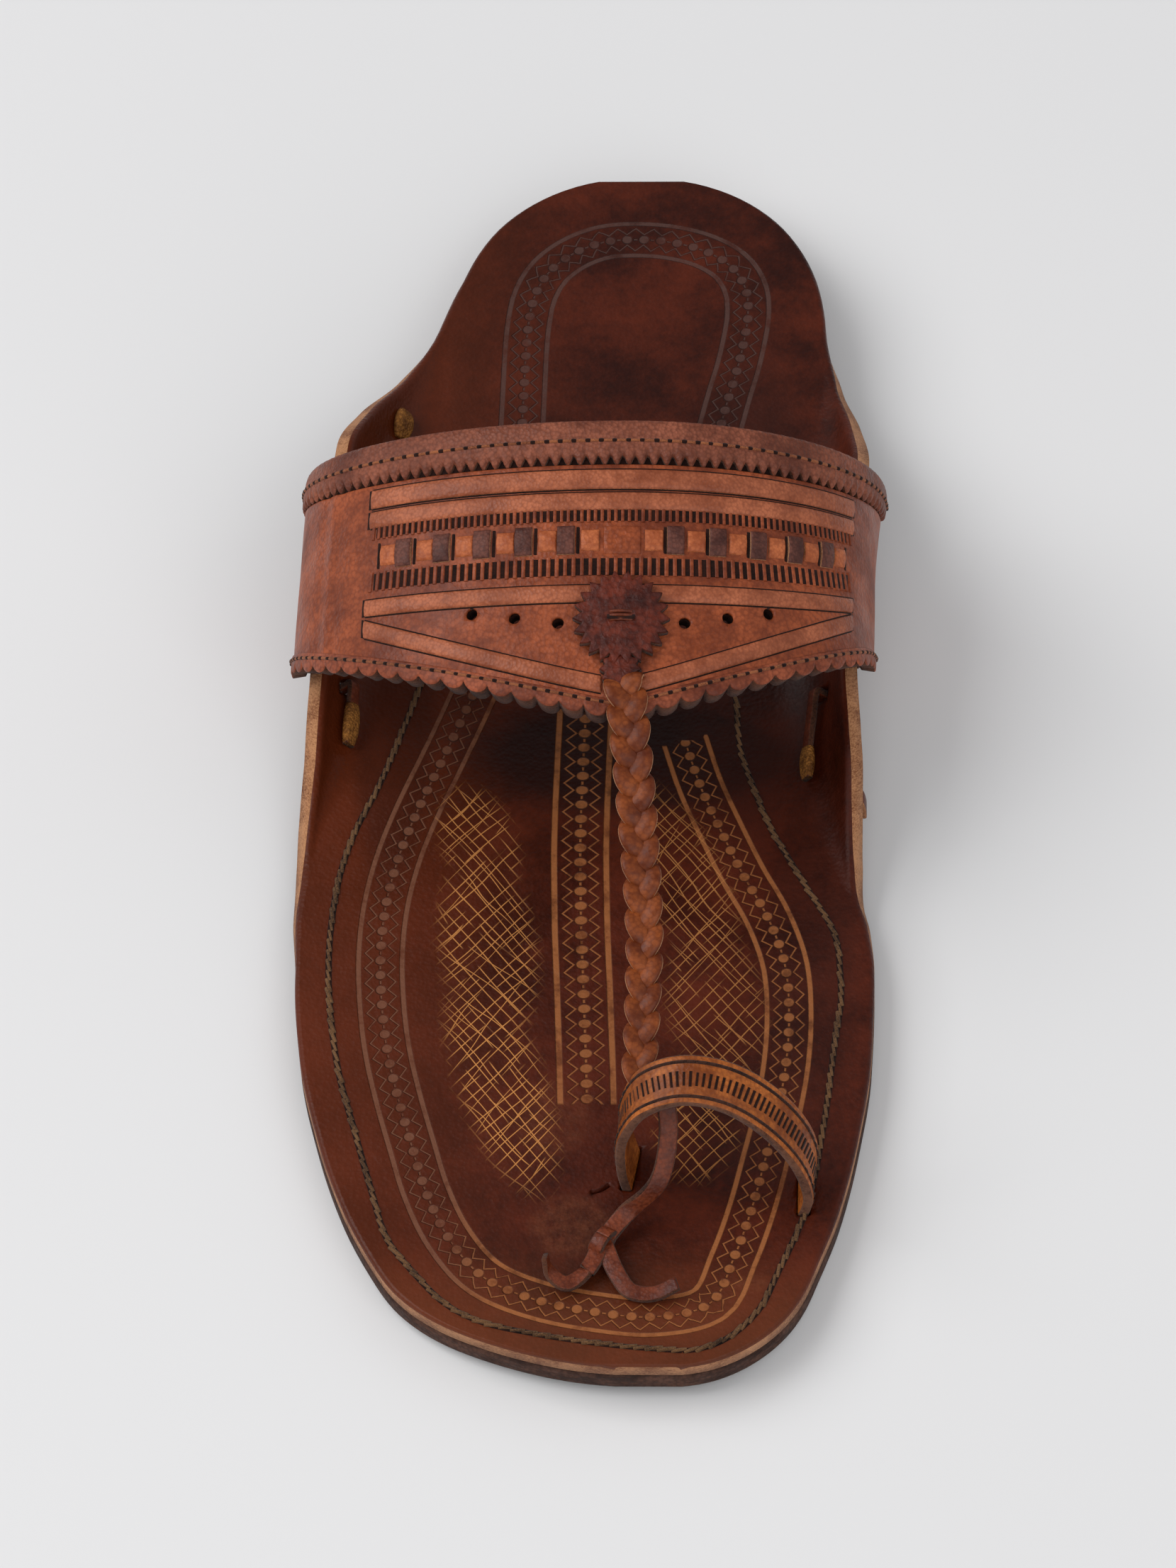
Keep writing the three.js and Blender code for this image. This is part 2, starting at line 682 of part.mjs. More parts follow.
function makeUpper() {
  const body = joined([...bandPieces(), ...braidStrands(), makeLoop()]);
  const holes = steps(0, HOLE_COUNT - 1, HOLE_COUNT - 1).flatMap((number) => {
    const place = HOLE_FIRST + number * HOLE_PITCH;
    return [-place, place].map((distance) => bandPunch(distance, HOLE_ROW - number * 1.2, HOLE_DIAMETER));
  });
  return geometryOf(body.subtract(joined(holes)));
}

// Toothed leather rosette that follows the band's crest
function makeRosette() {
  const rings = [0, 0.6, 1];
  const count = ROSETTE_TEETH * 2;
  const under = BAND_THICK + CLEARANCE;
  const face = (height) => {
    const points = [bandPoint(0, ROSETTE_Y, height)];
    rings.slice(1).forEach((share) => {
      for (let k = 0; k < count; k += 1) {
        const angle = (2 * Math.PI * k) / count;
        const notch = share === 1 && k % 2 === 1 ? ROSETTE_TOOTH : 0;
        const radius = share * (ROSETTE_DIAMETER / 2) - notch;
        const turn = turnAt(radius * Math.cos(angle));
        points.push(bandPoint(turn, ROSETTE_Y + radius * Math.sin(angle), height));
      }
    });
    return points;
  };
  const top = face(under + ROSETTE_THICK);
  const bottom = face(under);
  const shift = top.length;
  const faces = [];
  const at = (ring, k) => 1 + (ring - 1) * count + (k % count);
  for (let k = 0; k < count; k += 1) {
    faces.push([0, at(1, k), at(1, k + 1)], [shift, shift + at(1, k + 1), shift + at(1, k)]);
    for (let ring = 1; ring < rings.length - 1; ring += 1) {
      const [a, b, c, d] = [at(ring, k), at(ring + 1, k), at(ring + 1, k + 1), at(ring, k + 1)];
      faces.push([a, b, c], [a, c, d], [shift + a, shift + c, shift + b], [shift + a, shift + d, shift + c]);
    }
    const rim = rings.length - 1;
    const [a, b] = [at(rim, k), at(rim, k + 1)];
    faces.push([a, shift + a, shift + b], [a, shift + b, b]);
  }
  return closedGeometry([...top, ...bottom], faces);
}

// Thong from the loop's shoulder to a knot on the bed, with two short cut ends
function makeThongTie() {
  const shoulder = loopRoute()[7];
  const start = new THREE.Vector3(shoulder.x + 3.4, LOOP_Y + 2, shoulder.z - 3.4);
  const knot = new THREE.Vector3(LOOP_X - 0.61 * LOOP_SPAN, LOOP_Y - 18.1, 0);
  knot.z = bedHeight(knot.y) + 2.6;
  const onBed = (x, y, height) => new THREE.Vector3(x, y, bedHeight(y) + height);
  const side = new THREE.Vector3(1, 0.25, 0);
  const main = [
    start,
    new THREE.Vector3(start.x + 0.3, start.y - 4.6, start.z - 5),
    onBed(start.x - 1.6, LOOP_Y - 9, 9),
    onBed(knot.x + 4.2, knot.y + 5.4, 4),
    knot,
  ];
  const lateralTail = [
    knot,
    onBed(knot.x - 2.8, knot.y - 6.4, 2.2),
    onBed(knot.x - 6.6, knot.y - 9.2, 1.9),
    onBed(knot.x - 9.6, knot.y - 7.6, 3.6),
    onBed(knot.x - 10.4, knot.y - 6, 6.4),
  ];
  const medialTail = [
    knot,
    onBed(knot.x + 2.6, knot.y - 6.6, 2),
    onBed(knot.x + 5.4, knot.y - 10.8, 1.7),
    onBed(knot.x + 9.6, knot.y - 11.4, 1.7),
    onBed(knot.x + 14, knot.y - 10, 3.2),
  ];
  const strip = (points, width, lie) => loft(stripRings(smoothRoute(points, 9), width, TIE_THICK, lie, 0));
  const ball = new THREE.SphereGeometry(1, 10, 6);
  ball.scale(TIE_WIDTH * 0.85, TIE_WIDTH * 0.7, 2.2);
  ball.translate(...knot.toArray());
  const flatTail = (share) => new THREE.Vector3(1 - share, 1 + share, 0.2);
  return geometryOf(joined([
    strip(main, TIE_WIDTH, side),
    strip(lateralTail, TIE_WIDTH * 0.9, (share) => new THREE.Vector3(1 - share, 0.4 + share, 0)),
    strip(medialTail, TIE_WIDTH * 0.9, flatTail),
    ball,
  ]));
}

// A lacing thong starts in its slit, flush with the outer face, and lies down the inner face
function lacingPoints(name) {
  const side = name === 'lateral' ? -1 : 1;
  const lift = LACING_EASE + LACING_THICK / 2;
  const point = (row, depth) => {
    const y = row.at * LENGTH;
    return earPoint(y, side, row.reach * earWidth(y, side), depth);
  };
  const [slit, ...run] = LACINGS[name];
  return {
    outer: point(slit, INSOLE_THICK - 0.2),
    inner: point(slit, -lift),
    run: run.map((row) => point(row, -lift)),
  };
}

function lacingLie(points) {
  const run = points.run[0].clone().sub(points.inner).normalize();
  const through = points.outer.clone().sub(points.inner).normalize();
  return new THREE.Vector3().crossVectors(run, through).normalize();
}

function makeLacing(name) {
  const points = lacingPoints(name);
  const mouth = points.inner.clone().lerp(points.outer, 0.3);
  const route = [points.outer, mouth, points.inner, ...points.run];
  return loft(stripRings(route, LACING_WIDTH, LACING_THICK, lacingLie(points)));
}

function lacingSlit(name) {
  const points = lacingPoints(name);
  const beyond = points.outer.clone().sub(points.inner).multiplyScalar(0.4);
  const route = [points.outer.clone().add(beyond), points.inner.clone().sub(beyond)];
  const wide = LACING_WIDTH + 2 * CLEARANCE;
  return loft(stripRings(route, wide, LACING_THICK + 6 * CLEARANCE, lacingLie(points)));
}

function insoleBlank() {
  const rows = soleRows();
  const end = rows.length - 1;
  const lowered = (i) => (i % end === 0 ? INSOLE_BEVEL : 0);
  return plate(
    rows.map((y, i) => insoleRow(y, lowered(i), INSOLE_BEVEL - lowered(i))),
    rows.map((y) => insoleRow(y, INSOLE_THICK, 0)),
  );
}

function makeInsole() {
  const cuts = [...loopSlots(), lacingSlit('lateral'), lacingSlit('medial')];
  return geometryOf(solid(insoleBlank()).subtract(joined(cuts)));
}

const leather = {
  sole: { color: '#3a2015', roughness: 0.75 },
  bed: { color: '#5a230f', roughness: 0.4 },
  band: { color: '#7d3f26', roughness: 0.5 },
  thong: { color: '#6b2c16', roughness: 0.45 },
};

function piece(name, geometry, finish) {
  const mesh = new THREE.Mesh(geometry, new THREE.MeshStandardMaterial({ ...leather[finish], metalness: 0 }));
  mesh.name = name;
  return mesh;
}

const sandal = new THREE.Group();
sandal.add(piece('outsole', makeOutsole(), 'sole'));
for (let level = 0; level < LIFT_COUNT; level += 1) {
  sandal.add(piece(`heel_lift_${level + 1}`, makeLift(level), 'sole'));
}
sandal.add(
  piece('insole', makeInsole(), 'bed'),
  piece('upper', makeUpper(), 'band'),
  piece('rosette', makeRosette(), 'thong'),
  piece('thong_tie', makeThongTie(), 'thong'),
  piece('ear_lacing_lateral', makeLacing('lateral'), 'thong'),
  piece('ear_lacing_medial', makeLacing('medial'), 'thong'),
);

// The origin is the middle of the sandal's box, on the floor
const box = new THREE.Box3().setFromObject(sandal);
const middle = box.getCenter(new THREE.Vector3());
sandal.position.set(-middle.x, -middle.y, -box.min.z);
export default sandal;
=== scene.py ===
"""Looks of a kolhapuri sandal for the right foot: tooled insole, woven instep band, toe loop and braid.

Sizes are millimetres in the frame in which the sandal was drawn: toe towards -Y, heel +Y, big toe +X.
"""

import math
import bpy
import numpy as np
from mathutils import Matrix, Vector


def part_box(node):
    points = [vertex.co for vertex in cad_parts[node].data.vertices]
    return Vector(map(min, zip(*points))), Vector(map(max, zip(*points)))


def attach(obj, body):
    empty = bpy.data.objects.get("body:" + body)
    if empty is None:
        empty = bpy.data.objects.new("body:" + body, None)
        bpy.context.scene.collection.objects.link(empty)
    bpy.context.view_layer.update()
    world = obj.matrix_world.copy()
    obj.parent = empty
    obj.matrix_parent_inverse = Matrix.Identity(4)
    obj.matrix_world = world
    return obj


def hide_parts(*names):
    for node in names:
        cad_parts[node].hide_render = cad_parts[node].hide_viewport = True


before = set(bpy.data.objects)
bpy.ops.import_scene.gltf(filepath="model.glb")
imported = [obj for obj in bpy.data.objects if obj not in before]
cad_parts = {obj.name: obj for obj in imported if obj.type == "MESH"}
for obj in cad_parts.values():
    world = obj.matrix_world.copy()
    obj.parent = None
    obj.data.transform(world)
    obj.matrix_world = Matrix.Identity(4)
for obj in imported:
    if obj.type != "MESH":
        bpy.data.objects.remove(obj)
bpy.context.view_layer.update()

MM = 0.001

# Sole, insole and band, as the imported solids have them
LENGTH = 280.0
HALF = LENGTH / 2
BALL_WIDTH = 110.0
OUTSOLE_THICK = 4.5
LIFT_THICK = 3.4
LIFT_STEP = 3.7
TOE_SPRING = 3.0
HEEL_RISE = 2 * LIFT_STEP
INSOLE_THICK = 3.3
BED_OVER_GROUND = 8.1
EAR_WIDTH = 26.0
BAND_SEAT = 3.9
LINING_THICK = 2.2
BAND_THICK = 3.1
LEG_BELOW_EAR = 12.0
ARCH_SHARE = 0.8
CREST_X = 9.5
CREST_POWER = 2.2
HEEL_BREAST = 0.225 * LENGTH

# Place along the length, then the lateral and the medial edge as shares of the ball width
OUTLINE = np.array([
    (-0.500, -0.145, 0.345), (-0.464, -0.245, 0.382), (-0.421, -0.316, 0.418), (-0.371, -0.380, 0.460),
    (-0.314, -0.429, 0.491), (-0.250, -0.466, 0.513), (-0.186, -0.481, 0.518), (-0.143, -0.482, 0.500),
    (-0.100, -0.467, 0.447), (-0.057, -0.442, 0.395), (-0.014, -0.404, 0.355), (0.036, -0.362, 0.333),
    (0.093, -0.325, 0.330), (0.157, -0.295, 0.347), (0.221, -0.276, 0.378), (0.286, -0.266, 0.411),
    (0.350, -0.261, 0.430), (0.400, -0.256, 0.431), (0.450, -0.250, 0.427), (0.500, -0.227, 0.409),
])
TOE_END = {"from": -0.418, "centre": 0.155, "power": 2.6}
HEEL_END = {"from": 0.329, "centre": 0.084, "power": 2.45}

# Width of each ear as a share of its greatest, and the angle it is turned up to
EARS = np.array([
    (-0.179, 0.00, 0, 0.00, 0), (-0.129, 0.01, 18, 0.03, 20), (-0.093, 0.04, 36, 0.19, 45),
    (-0.057, 0.12, 54, 0.45, 62), (-0.021, 0.28, 66, 0.73, 72), (0.029, 0.56, 74, 0.90, 76),
    (0.093, 0.81, 76, 0.94, 76), (0.157, 0.94, 76, 0.89, 75), (0.207, 0.92, 74, 0.70, 68),
    (0.257, 0.65, 62, 0.38, 52), (0.307, 0.29, 44, 0.11, 30), (0.357, 0.07, 18, 0.00, 0),
    (0.407, 0.00, 0, 0.00, 0),
])

# Height of the outsole's ground line as shares of the toe spring and the heel rise
GROUND = np.array([
    (-0.500, 1.00, 0.00), (-0.450, 0.50, 0.00), (-0.395, 0.12, 0.00), (-0.340, 0.00, 0.00),
    (0.015, 0.00, 0.00), (0.080, 0.00, 0.20), (0.150, 0.00, 0.72), (0.221, 0.00, 1.00), (0.500, 0.00, 1.00),
])


def curve_of(table, column):
    """Smooth curve through one column of a table, with no overshoot between the rows."""
    at = table[:, 0]
    value = table[:, column].astype(float)
    slope = np.diff(value) / np.diff(at)
    before = slope[:-1]
    after = slope[1:]
    product = before * after
    mean = np.where(product > 0, 2 * product / np.where(product > 0, before + after, 1.0), 0.0)
    tangent = np.concatenate([slope[:1], mean, slope[-1:]])

    def curve(place):
        x = np.clip(np.asarray(place, float), at[0], at[-1])
        i = np.clip(np.searchsorted(at, x) - 1, 0, len(at) - 2)
        span = at[i + 1] - at[i]
        t = (x - at[i]) / span
        rest = 1 - t
        ends = rest * rest * (1 + 2 * t) * value[i] + t * t * (3 - 2 * t) * value[i + 1]
        return ends + span * t * rest * (rest * tangent[i] - t * tangent[i + 1])

    return curve


lateral_edge = curve_of(OUTLINE, 1)
medial_edge = curve_of(OUTLINE, 2)
lateral_ear = (curve_of(EARS, 1), curve_of(EARS, 2))
medial_ear = (curve_of(EARS, 3), curve_of(EARS, 4))
toe_rise = curve_of(GROUND, 1)
heel_rise = curve_of(GROUND, 2)


def ground_line(y):
    return TOE_SPRING * toe_rise(y / LENGTH) + HEEL_RISE * heel_rise(y / LENGTH)


def bed_height(y):
    return ground_line(y) + BED_OVER_GROUND


def end_rounding(y):
    """How far the outline is drawn in towards the middle of the toe or heel end."""
    y = np.asarray(y, float)
    start = np.where(y < 0, -TOE_END["from"], HEEL_END["from"]) * LENGTH
    power = np.where(y < 0, TOE_END["power"], HEEL_END["power"])
    past = np.clip((np.abs(y) - start) / (HALF - start), 0, 1)
    return (1 - past ** power) ** (1 / power)


def sole_edge(y, side):
    y = np.asarray(y, float)
    middle = np.where(y < 0, TOE_END["centre"], HEEL_END["centre"]) * BALL_WIDTH
    edge = np.where(np.asarray(side) < 0, lateral_edge(y / LENGTH), medial_edge(y / LENGTH)) * BALL_WIDTH
    return middle + (edge - middle) * end_rounding(y)


def ear_width(y, side):
    y = np.asarray(y, float) / LENGTH
    return EAR_WIDTH * np.where(np.asarray(side) < 0, lateral_ear[0](y), medial_ear[0](y))


def points_of(x, y, z):
    return np.stack(np.broadcast_arrays(np.asarray(x, float), y, z), -1)


def ear_point(y, side, reach, depth):
    """Point of the insole, reach millimetres of leather out from the sole's edge, depth below its face."""
    y = np.asarray(y, float)
    edge = sole_edge(y, side)
    width = ear_width(y, side)
    angle = np.where(np.asarray(side) < 0, lateral_ear[1](y / LENGTH), medial_ear[1](y / LENGTH))
    full = np.radians(angle)
    flat = (np.asarray(reach) <= 0) | (full < 1e-3)
    full = np.maximum(full, 1e-3)
    bend = np.maximum(0.7 * width, 0.01)
    turned = full * np.minimum(1, reach / bend)
    straight = np.maximum(0, reach - bend)
    curl = bend / full
    out = curl * np.sin(turned) + straight * np.cos(full) + depth * np.sin(turned)
    up = curl * (1 - np.cos(turned)) + straight * np.sin(full) - depth * np.cos(turned)
    x = edge + side * np.where(flat, reach, out)
    z = bed_height(y) + np.where(flat, -np.asarray(depth), up)
    return points_of(x, y, z)


def back_edge(turn):
    return 33 + 26 * np.abs(turn) ** 2.2


def front_edge(turn):
    return -24 + (np.where(np.asarray(turn) < 0, 22, 19) + 24) * np.abs(turn) ** 1.15


def band_point(turn, y, height):
    """Point of the band: turn runs from -1, lateral end, over the crest to 1, medial end."""
    turn = np.asarray(turn, float)
    y = np.asarray(y, float)
    side = np.where(turn < 0, -1, 1)
    share = np.abs(turn)
    width = ear_width(y, side)
    down = LEG_BELOW_EAR * np.maximum(0, share - ARCH_SHARE) / (1 - ARCH_SHARE)
    leg = ear_point(y, side, width - down, BAND_SEAT + height)
    angle = (math.pi / 2) * np.minimum(1, share / ARCH_SHARE)
    sideways = np.sin(angle) ** (2 / CREST_POWER)
    upwards = np.clip(np.cos(angle), 0, 1) ** (2 / CREST_POWER)
    crest = 50 + 0.315 * (y + 24) + height
    x = CREST_X + (leg[..., 0] - CREST_X) * sideways
    z = leg[..., 2] + (crest - leg[..., 2]) * upwards
    on_leg = share > ARCH_SHARE
    return points_of(np.where(on_leg, leg[..., 0], x), y, np.where(on_leg, leg[..., 2], z))


GIRTH_TURNS = np.linspace(-1, 1, 401)
girth_line = band_point(GIRTH_TURNS, (back_edge(GIRTH_TURNS) + front_edge(GIRTH_TURNS)) / 2, BAND_THICK)
girth_length = np.concatenate([[0], np.cumsum(np.linalg.norm(np.diff(girth_line, axis=0), axis=1))])
girth_length -= girth_length[200]
LATERAL_GIRTH = girth_length[0]
MEDIAL_GIRTH = girth_length[-1]


def turn_at(distance):
    """Turn of the band at a distance along its girth from the crest."""
    return np.interp(distance, girth_length, GIRTH_TURNS)


def from_back(turn, distance):
    return back_edge(turn) - distance * (1 - 0.3 * turn * turn)


def from_front(turn, distance):
    return front_edge(turn) + distance


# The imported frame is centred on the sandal's box, so drawn places are shifted once
outsole_low, outsole_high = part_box("outsole")
edge_rows = np.linspace(-LENGTH * 0.4, LENGTH * 0.4, 600)
drawn_left = sole_edge(edge_rows, -1).min()
drawn_right = sole_edge(edge_rows, 1).max()
end_turn = math.cos(0.08 * math.pi / 2)
toe_row = LENGTH * TOE_END["from"] * (1 - end_turn) - HALF * end_turn
heel_row = LENGTH * HEEL_END["from"] * (1 - end_turn) + HALF * end_turn
SHIFT = np.array([
    (outsole_low.x + outsole_high.x) / 2 / MM - (drawn_left + drawn_right) / 2,
    (outsole_low.y + outsole_high.y) / 2 / MM - (toe_row + heel_row) / 2,
    0.0,
])


def placed(points):
    """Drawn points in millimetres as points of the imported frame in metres."""
    return (np.asarray(points, float) + SHIFT) * MM


def mesh_object(name, points, faces, materials, face_material):
    """Mesh piece from drawn points, faces and one material for each face."""
    mesh = bpy.data.meshes.new(name)
    mesh.from_pydata(placed(points).tolist(), [], faces if isinstance(faces, list) else faces.tolist())
    for material in materials:
        mesh.materials.append(material)
    mesh.polygons.foreach_set("material_index", np.asarray(face_material, np.int32))
    mesh.shade_smooth()
    mesh.update()
    made = bpy.data.objects.new(name, mesh)
    bpy.context.scene.collection.objects.link(made)
    return made


def volume_sign(points, faces):
    first = points[faces[:, 0]]
    second = points[faces[:, 1]]
    third = points[faces[:, 2]]
    return np.sign(np.einsum("ij,ij->i", first, np.cross(second, third)).sum())


def faced_outward(points, faces):
    """The quads of a closed piece, turned to face out of it."""
    triangles = np.concatenate([faces[:, :3], faces[:, [0, 2, 3]]])
    return faces[:, ::-1] if volume_sign(points, triangles) < 0 else faces


def plate_faces(rows, columns):
    """Quads of a closed plate between two grids, top first, and which of them are its top, rim and back."""
    index = np.arange(rows * columns).reshape(rows, columns)
    below = index + rows * columns

    def quads(a, b, c, d):
        return np.stack([a, b, c, d], -1).reshape(-1, 4)

    top = quads(index[:-1, :-1], index[:-1, 1:], index[1:, 1:], index[1:, :-1])
    back = quads(below[:-1, :-1], below[1:, :-1], below[1:, 1:], below[:-1, 1:])
    rim = np.concatenate([
        quads(index[:-1, 0], index[1:, 0], below[1:, 0], below[:-1, 0]),
        quads(index[:-1, -1], below[:-1, -1], below[1:, -1], index[1:, -1]),
        quads(index[0, :-1], below[0, :-1], below[0, 1:], index[0, 1:]),
        quads(index[-1, :-1], index[-1, 1:], below[-1, 1:], below[-1, :-1]),
    ])
    faces = np.concatenate([top, rim, back])
    part = np.concatenate([np.zeros(len(top), int), np.ones(len(rim), int), np.full(len(back), 2)])
    return faces, part


def plate(name, top, bottom, materials):
    """Closed plate between two grids of drawn points, with materials for its face, rim and back."""
    rows, columns = top.shape[:2]
    points = np.concatenate([top.reshape(-1, 3), bottom.reshape(-1, 3)])
    faces, part = plate_faces(rows, columns)
    face_material = np.minimum(part, len(materials) - 1)
    return mesh_object(name, points, faced_outward(points, faces), materials, face_material)


def dressed(made):
    """The piece goes with the sandal."""
    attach(made, "root")
    return made


# Finishes
def srgb(red, green, blue):
    """A colour seen in the photograph as linear light."""
    share = np.array([red, green, blue]) / 255
    linear = np.where(share <= 0.04045, share / 12.92, ((share + 0.055) / 1.055) ** 2.4)
    return (*linear.tolist(), 1.0)


def put(tree, socket, value):
    """Sets a node's input, or links it where the value is another node's output."""
    if isinstance(value, bpy.types.NodeSocket):
        tree.links.new(value, socket)
    else:
        socket.default_value = value


def compute(tree, operation, first, second=0.0, third=0.0):
    node = tree.nodes.new("ShaderNodeMath")
    node.operation = operation
    for socket, value in zip(node.inputs, (first, second, third)):
        put(tree, socket, value)
    return node.outputs[0]


def product(tree, first, second):
    return compute(tree, "MULTIPLY", first, second)


def total(tree, first, second):
    return compute(tree, "ADD", first, second)


def ramp(tree, value, low, high, start=0.0, end=1.0):
    """Smooth step of a value between two of its levels."""
    node = tree.nodes.new("ShaderNodeMapRange")
    node.interpolation_type = "SMOOTHSTEP"
    for socket, number in zip(node.inputs, (value, low, high, start, end)):
        put(tree, socket, number)
    return node.outputs[0]


def blended(tree, share, under, over):
    node = tree.nodes.new("ShaderNodeMix")
    node.data_type = "RGBA"
    put(tree, node.inputs[0], share)
    put(tree, node.inputs[6], under)
    put(tree, node.inputs[7], over)
    return node.outputs[2]


def cloud(tree, vector, size, detail=3.0, rough=0.55, stretch=(1, 1, 1)):
    """Noise whose patches are about size millimetres across, from 0 to 1."""
    mapping = tree.nodes.new("ShaderNodeMapping")
    mapping.inputs["Scale"].default_value = [share / (size * MM) for share in stretch]
    put(tree, mapping.inputs["Vector"], vector)
    node = tree.nodes.new("ShaderNodeTexNoise")
    node.inputs["Scale"].default_value = 1.0
    node.inputs["Detail"].default_value = detail
    node.inputs["Roughness"].default_value = rough
    tree.links.new(mapping.outputs[0], node.inputs["Vector"])
    return node.outputs["Fac"]


def pebbles(tree, vector, size):
    node = tree.nodes.new("ShaderNodeTexVoronoi")
    node.inputs["Scale"].default_value = 1 / (size * MM)
    put(tree, node.inputs["Vector"], vector)
    return node.outputs["Distance"]


def bumped(tree, height, depth, normal=None):
    """Relief of a height from 0 to 1, depth millimetres deep."""
    node = tree.nodes.new("ShaderNodeBump")
    node.inputs["Distance"].default_value = depth * MM
    put(tree, node.inputs["Height"], height)
    if normal is not None:
        tree.links.new(normal, node.inputs["Normal"])
    return node.outputs[0]


def finish_named(name, roughness, coat=0.0, coat_roughness=0.3, sheen=0.0, specular=0.5):
    """Empty finish: its material, node tree, shader and the place on the piece."""
    material = bpy.data.materials.new(name)
    material.use_nodes = True
    tree = material.node_tree
    tree.nodes.clear()
    output = tree.nodes.new("ShaderNodeOutputMaterial")
    shader = tree.nodes.new("ShaderNodeBsdfPrincipled")
    tree.links.new(shader.outputs[0], output.inputs["Surface"])
    shader.inputs["Roughness"].default_value = roughness
    shader.inputs["Coat Weight"].default_value = coat
    shader.inputs["Coat Roughness"].default_value = coat_roughness
    shader.inputs["Sheen Weight"].default_value = sheen
    shader.inputs["Specular IOR Level"].default_value = specular
    place = tree.nodes.new("ShaderNodeTexCoord").outputs["Object"]
    return material, tree, shader, place


def leather(name, dark, light, roughness=0.5, coat=0.05, grain=0.9, relief=0.12, crease=0.25, patch=14.0,
            streak=(1, 1, 1), specular=0.2):
    """Tanned leather: patches between two colours, pores, fine grain and soft creases."""
    material, tree, shader, place = finish_named(name, roughness, coat, 0.35, 0.0, specular)
    patches = cloud(tree, place, patch, 4.0, 0.6, streak)
    pores = cloud(tree, place, grain * 1.6, 3.0, 0.7)
    tone = ramp(tree, total(tree, patches, product(tree, pores, 0.35)), 0.42, 0.92)
    colour = blended(tree, tone, dark, light)
    grains = pebbles(tree, place, grain)
    colour = blended(tree, ramp(tree, grains, 0.35, 0.8, 0.0, 0.5), colour, dark)
    put(tree, shader.inputs["Base Color"], colour)
    gloss = ramp(tree, cloud(tree, place, patch * 0.5, 3.0), 0.3, 0.7, roughness - 0.1, roughness + 0.12)
    put(tree, shader.inputs["Roughness"], gloss)
    creased = bumped(tree, cloud(tree, place, patch * 0.35, 5.0, 0.6, streak), crease)
    fine = total(tree, grains, product(tree, pores, 0.6))
    put(tree, shader.inputs["Normal"], bumped(tree, fine, relief, creased))
    return material


def fibres(name, dark, light, roughness=0.85, size=0.5, relief=0.2, stretch=(1, 1, 3)):
    """Cut edge or flesh side of leather: short fibres in layers."""
    material, tree, shader, place = finish_named(name, roughness, sheen=0.1, specular=0.12)
    strands = cloud(tree, place, size, 5.0, 0.75, stretch)
    patches = cloud(tree, place, 6.0, 3.0)
    tone = ramp(tree, total(tree, strands, product(tree, patches, 0.6)), 0.55, 1.0)
    put(tree, shader.inputs["Base Color"], blended(tree, tone, dark, light))
    put(tree, shader.inputs["Normal"], bumped(tree, strands, relief))
    return material


sole_leather = leather("stacked_sole_leather", srgb(44, 27, 22), srgb(92, 62, 50), roughness=0.72,
                       coat=0.0, grain=0.8, relief=0.2, crease=0.4, patch=9, streak=(1, 1, 4),
                       specular=0.2)
band_leather = leather("band_leather", srgb(86, 35, 19), srgb(162, 84, 54), roughness=0.5, coat=0.05,
                       grain=0.75, relief=0.1, crease=0.25)
face_leather = leather("band_face_leather", srgb(100, 42, 21), srgb(164, 82, 46), roughness=0.42,
                       coat=0.04, grain=0.8, relief=0.1, crease=0.4, patch=20, streak=(2.2, 2.2, 0.6))
strip_leather = leather("band_strip_leather", srgb(124, 62, 38), srgb(182, 104, 70), roughness=0.4,
                        coat=0.06, grain=0.6, relief=0.1, crease=0.12, patch=8)
square_leather = leather("square_leather", srgb(142, 68, 36), srgb(194, 108, 64), roughness=0.46,
                         coat=0.06, grain=0.6, relief=0.1, crease=0.15, patch=4)
bar_leather = leather("weave_bar_leather", srgb(62, 30, 24), srgb(112, 66, 54), roughness=0.5, coat=0.04,
                      grain=0.6, relief=0.12, crease=0.2, patch=4)
lining_leather = leather("dark_lining", srgb(20, 10, 8), srgb(44, 22, 16), roughness=0.8, coat=0.0,
                         grain=0.8, relief=0.15, crease=0.2, patch=10, specular=0.1)
rosette_leather = leather("rosette_leather", srgb(50, 14, 8), srgb(106, 40, 22), roughness=0.42,
                          coat=0.06, grain=1.1, relief=0.2, crease=0.45, patch=5)
braid_leather = leather("braid_leather", srgb(84, 32, 10), srgb(146, 74, 32), roughness=0.44, coat=0.03,
                        grain=0.9, relief=0.05, crease=0.1, patch=5)
loop_leather = leather("toe_loop_leather", srgb(112, 52, 16), srgb(192, 108, 44), roughness=0.46,
                       coat=0.08, grain=0.7, relief=0.1, crease=0.25, patch=9)
thong_leather = leather("knotted_thong_leather", srgb(74, 28, 14), srgb(124, 58, 32), roughness=0.4,
                        coat=0.12, grain=0.7, relief=0.1, crease=0.25, patch=5)
lacing_leather = leather("golden_thong_leather", srgb(92, 52, 18), srgb(176, 116, 52), roughness=0.7,
                         coat=0.0, grain=0.5, relief=0.3, crease=0.3, patch=3)
cut_edge = fibres("golden_cut_edge", srgb(112, 62, 36), srgb(198, 142, 100))
dark_edge = fibres("stained_cut_edge", srgb(38, 18, 12), srgb(104, 62, 42))
flesh_side = fibres("flesh_side", srgb(70, 40, 28), srgb(116, 76, 56), roughness=0.9, size=0.9,
                    relief=0.25, stretch=(1, 1, 1))
tan_thread = fibres("tan_thread", srgb(88, 44, 27), srgb(164, 98, 62), roughness=0.7, size=0.3,
                    relief=0.1)
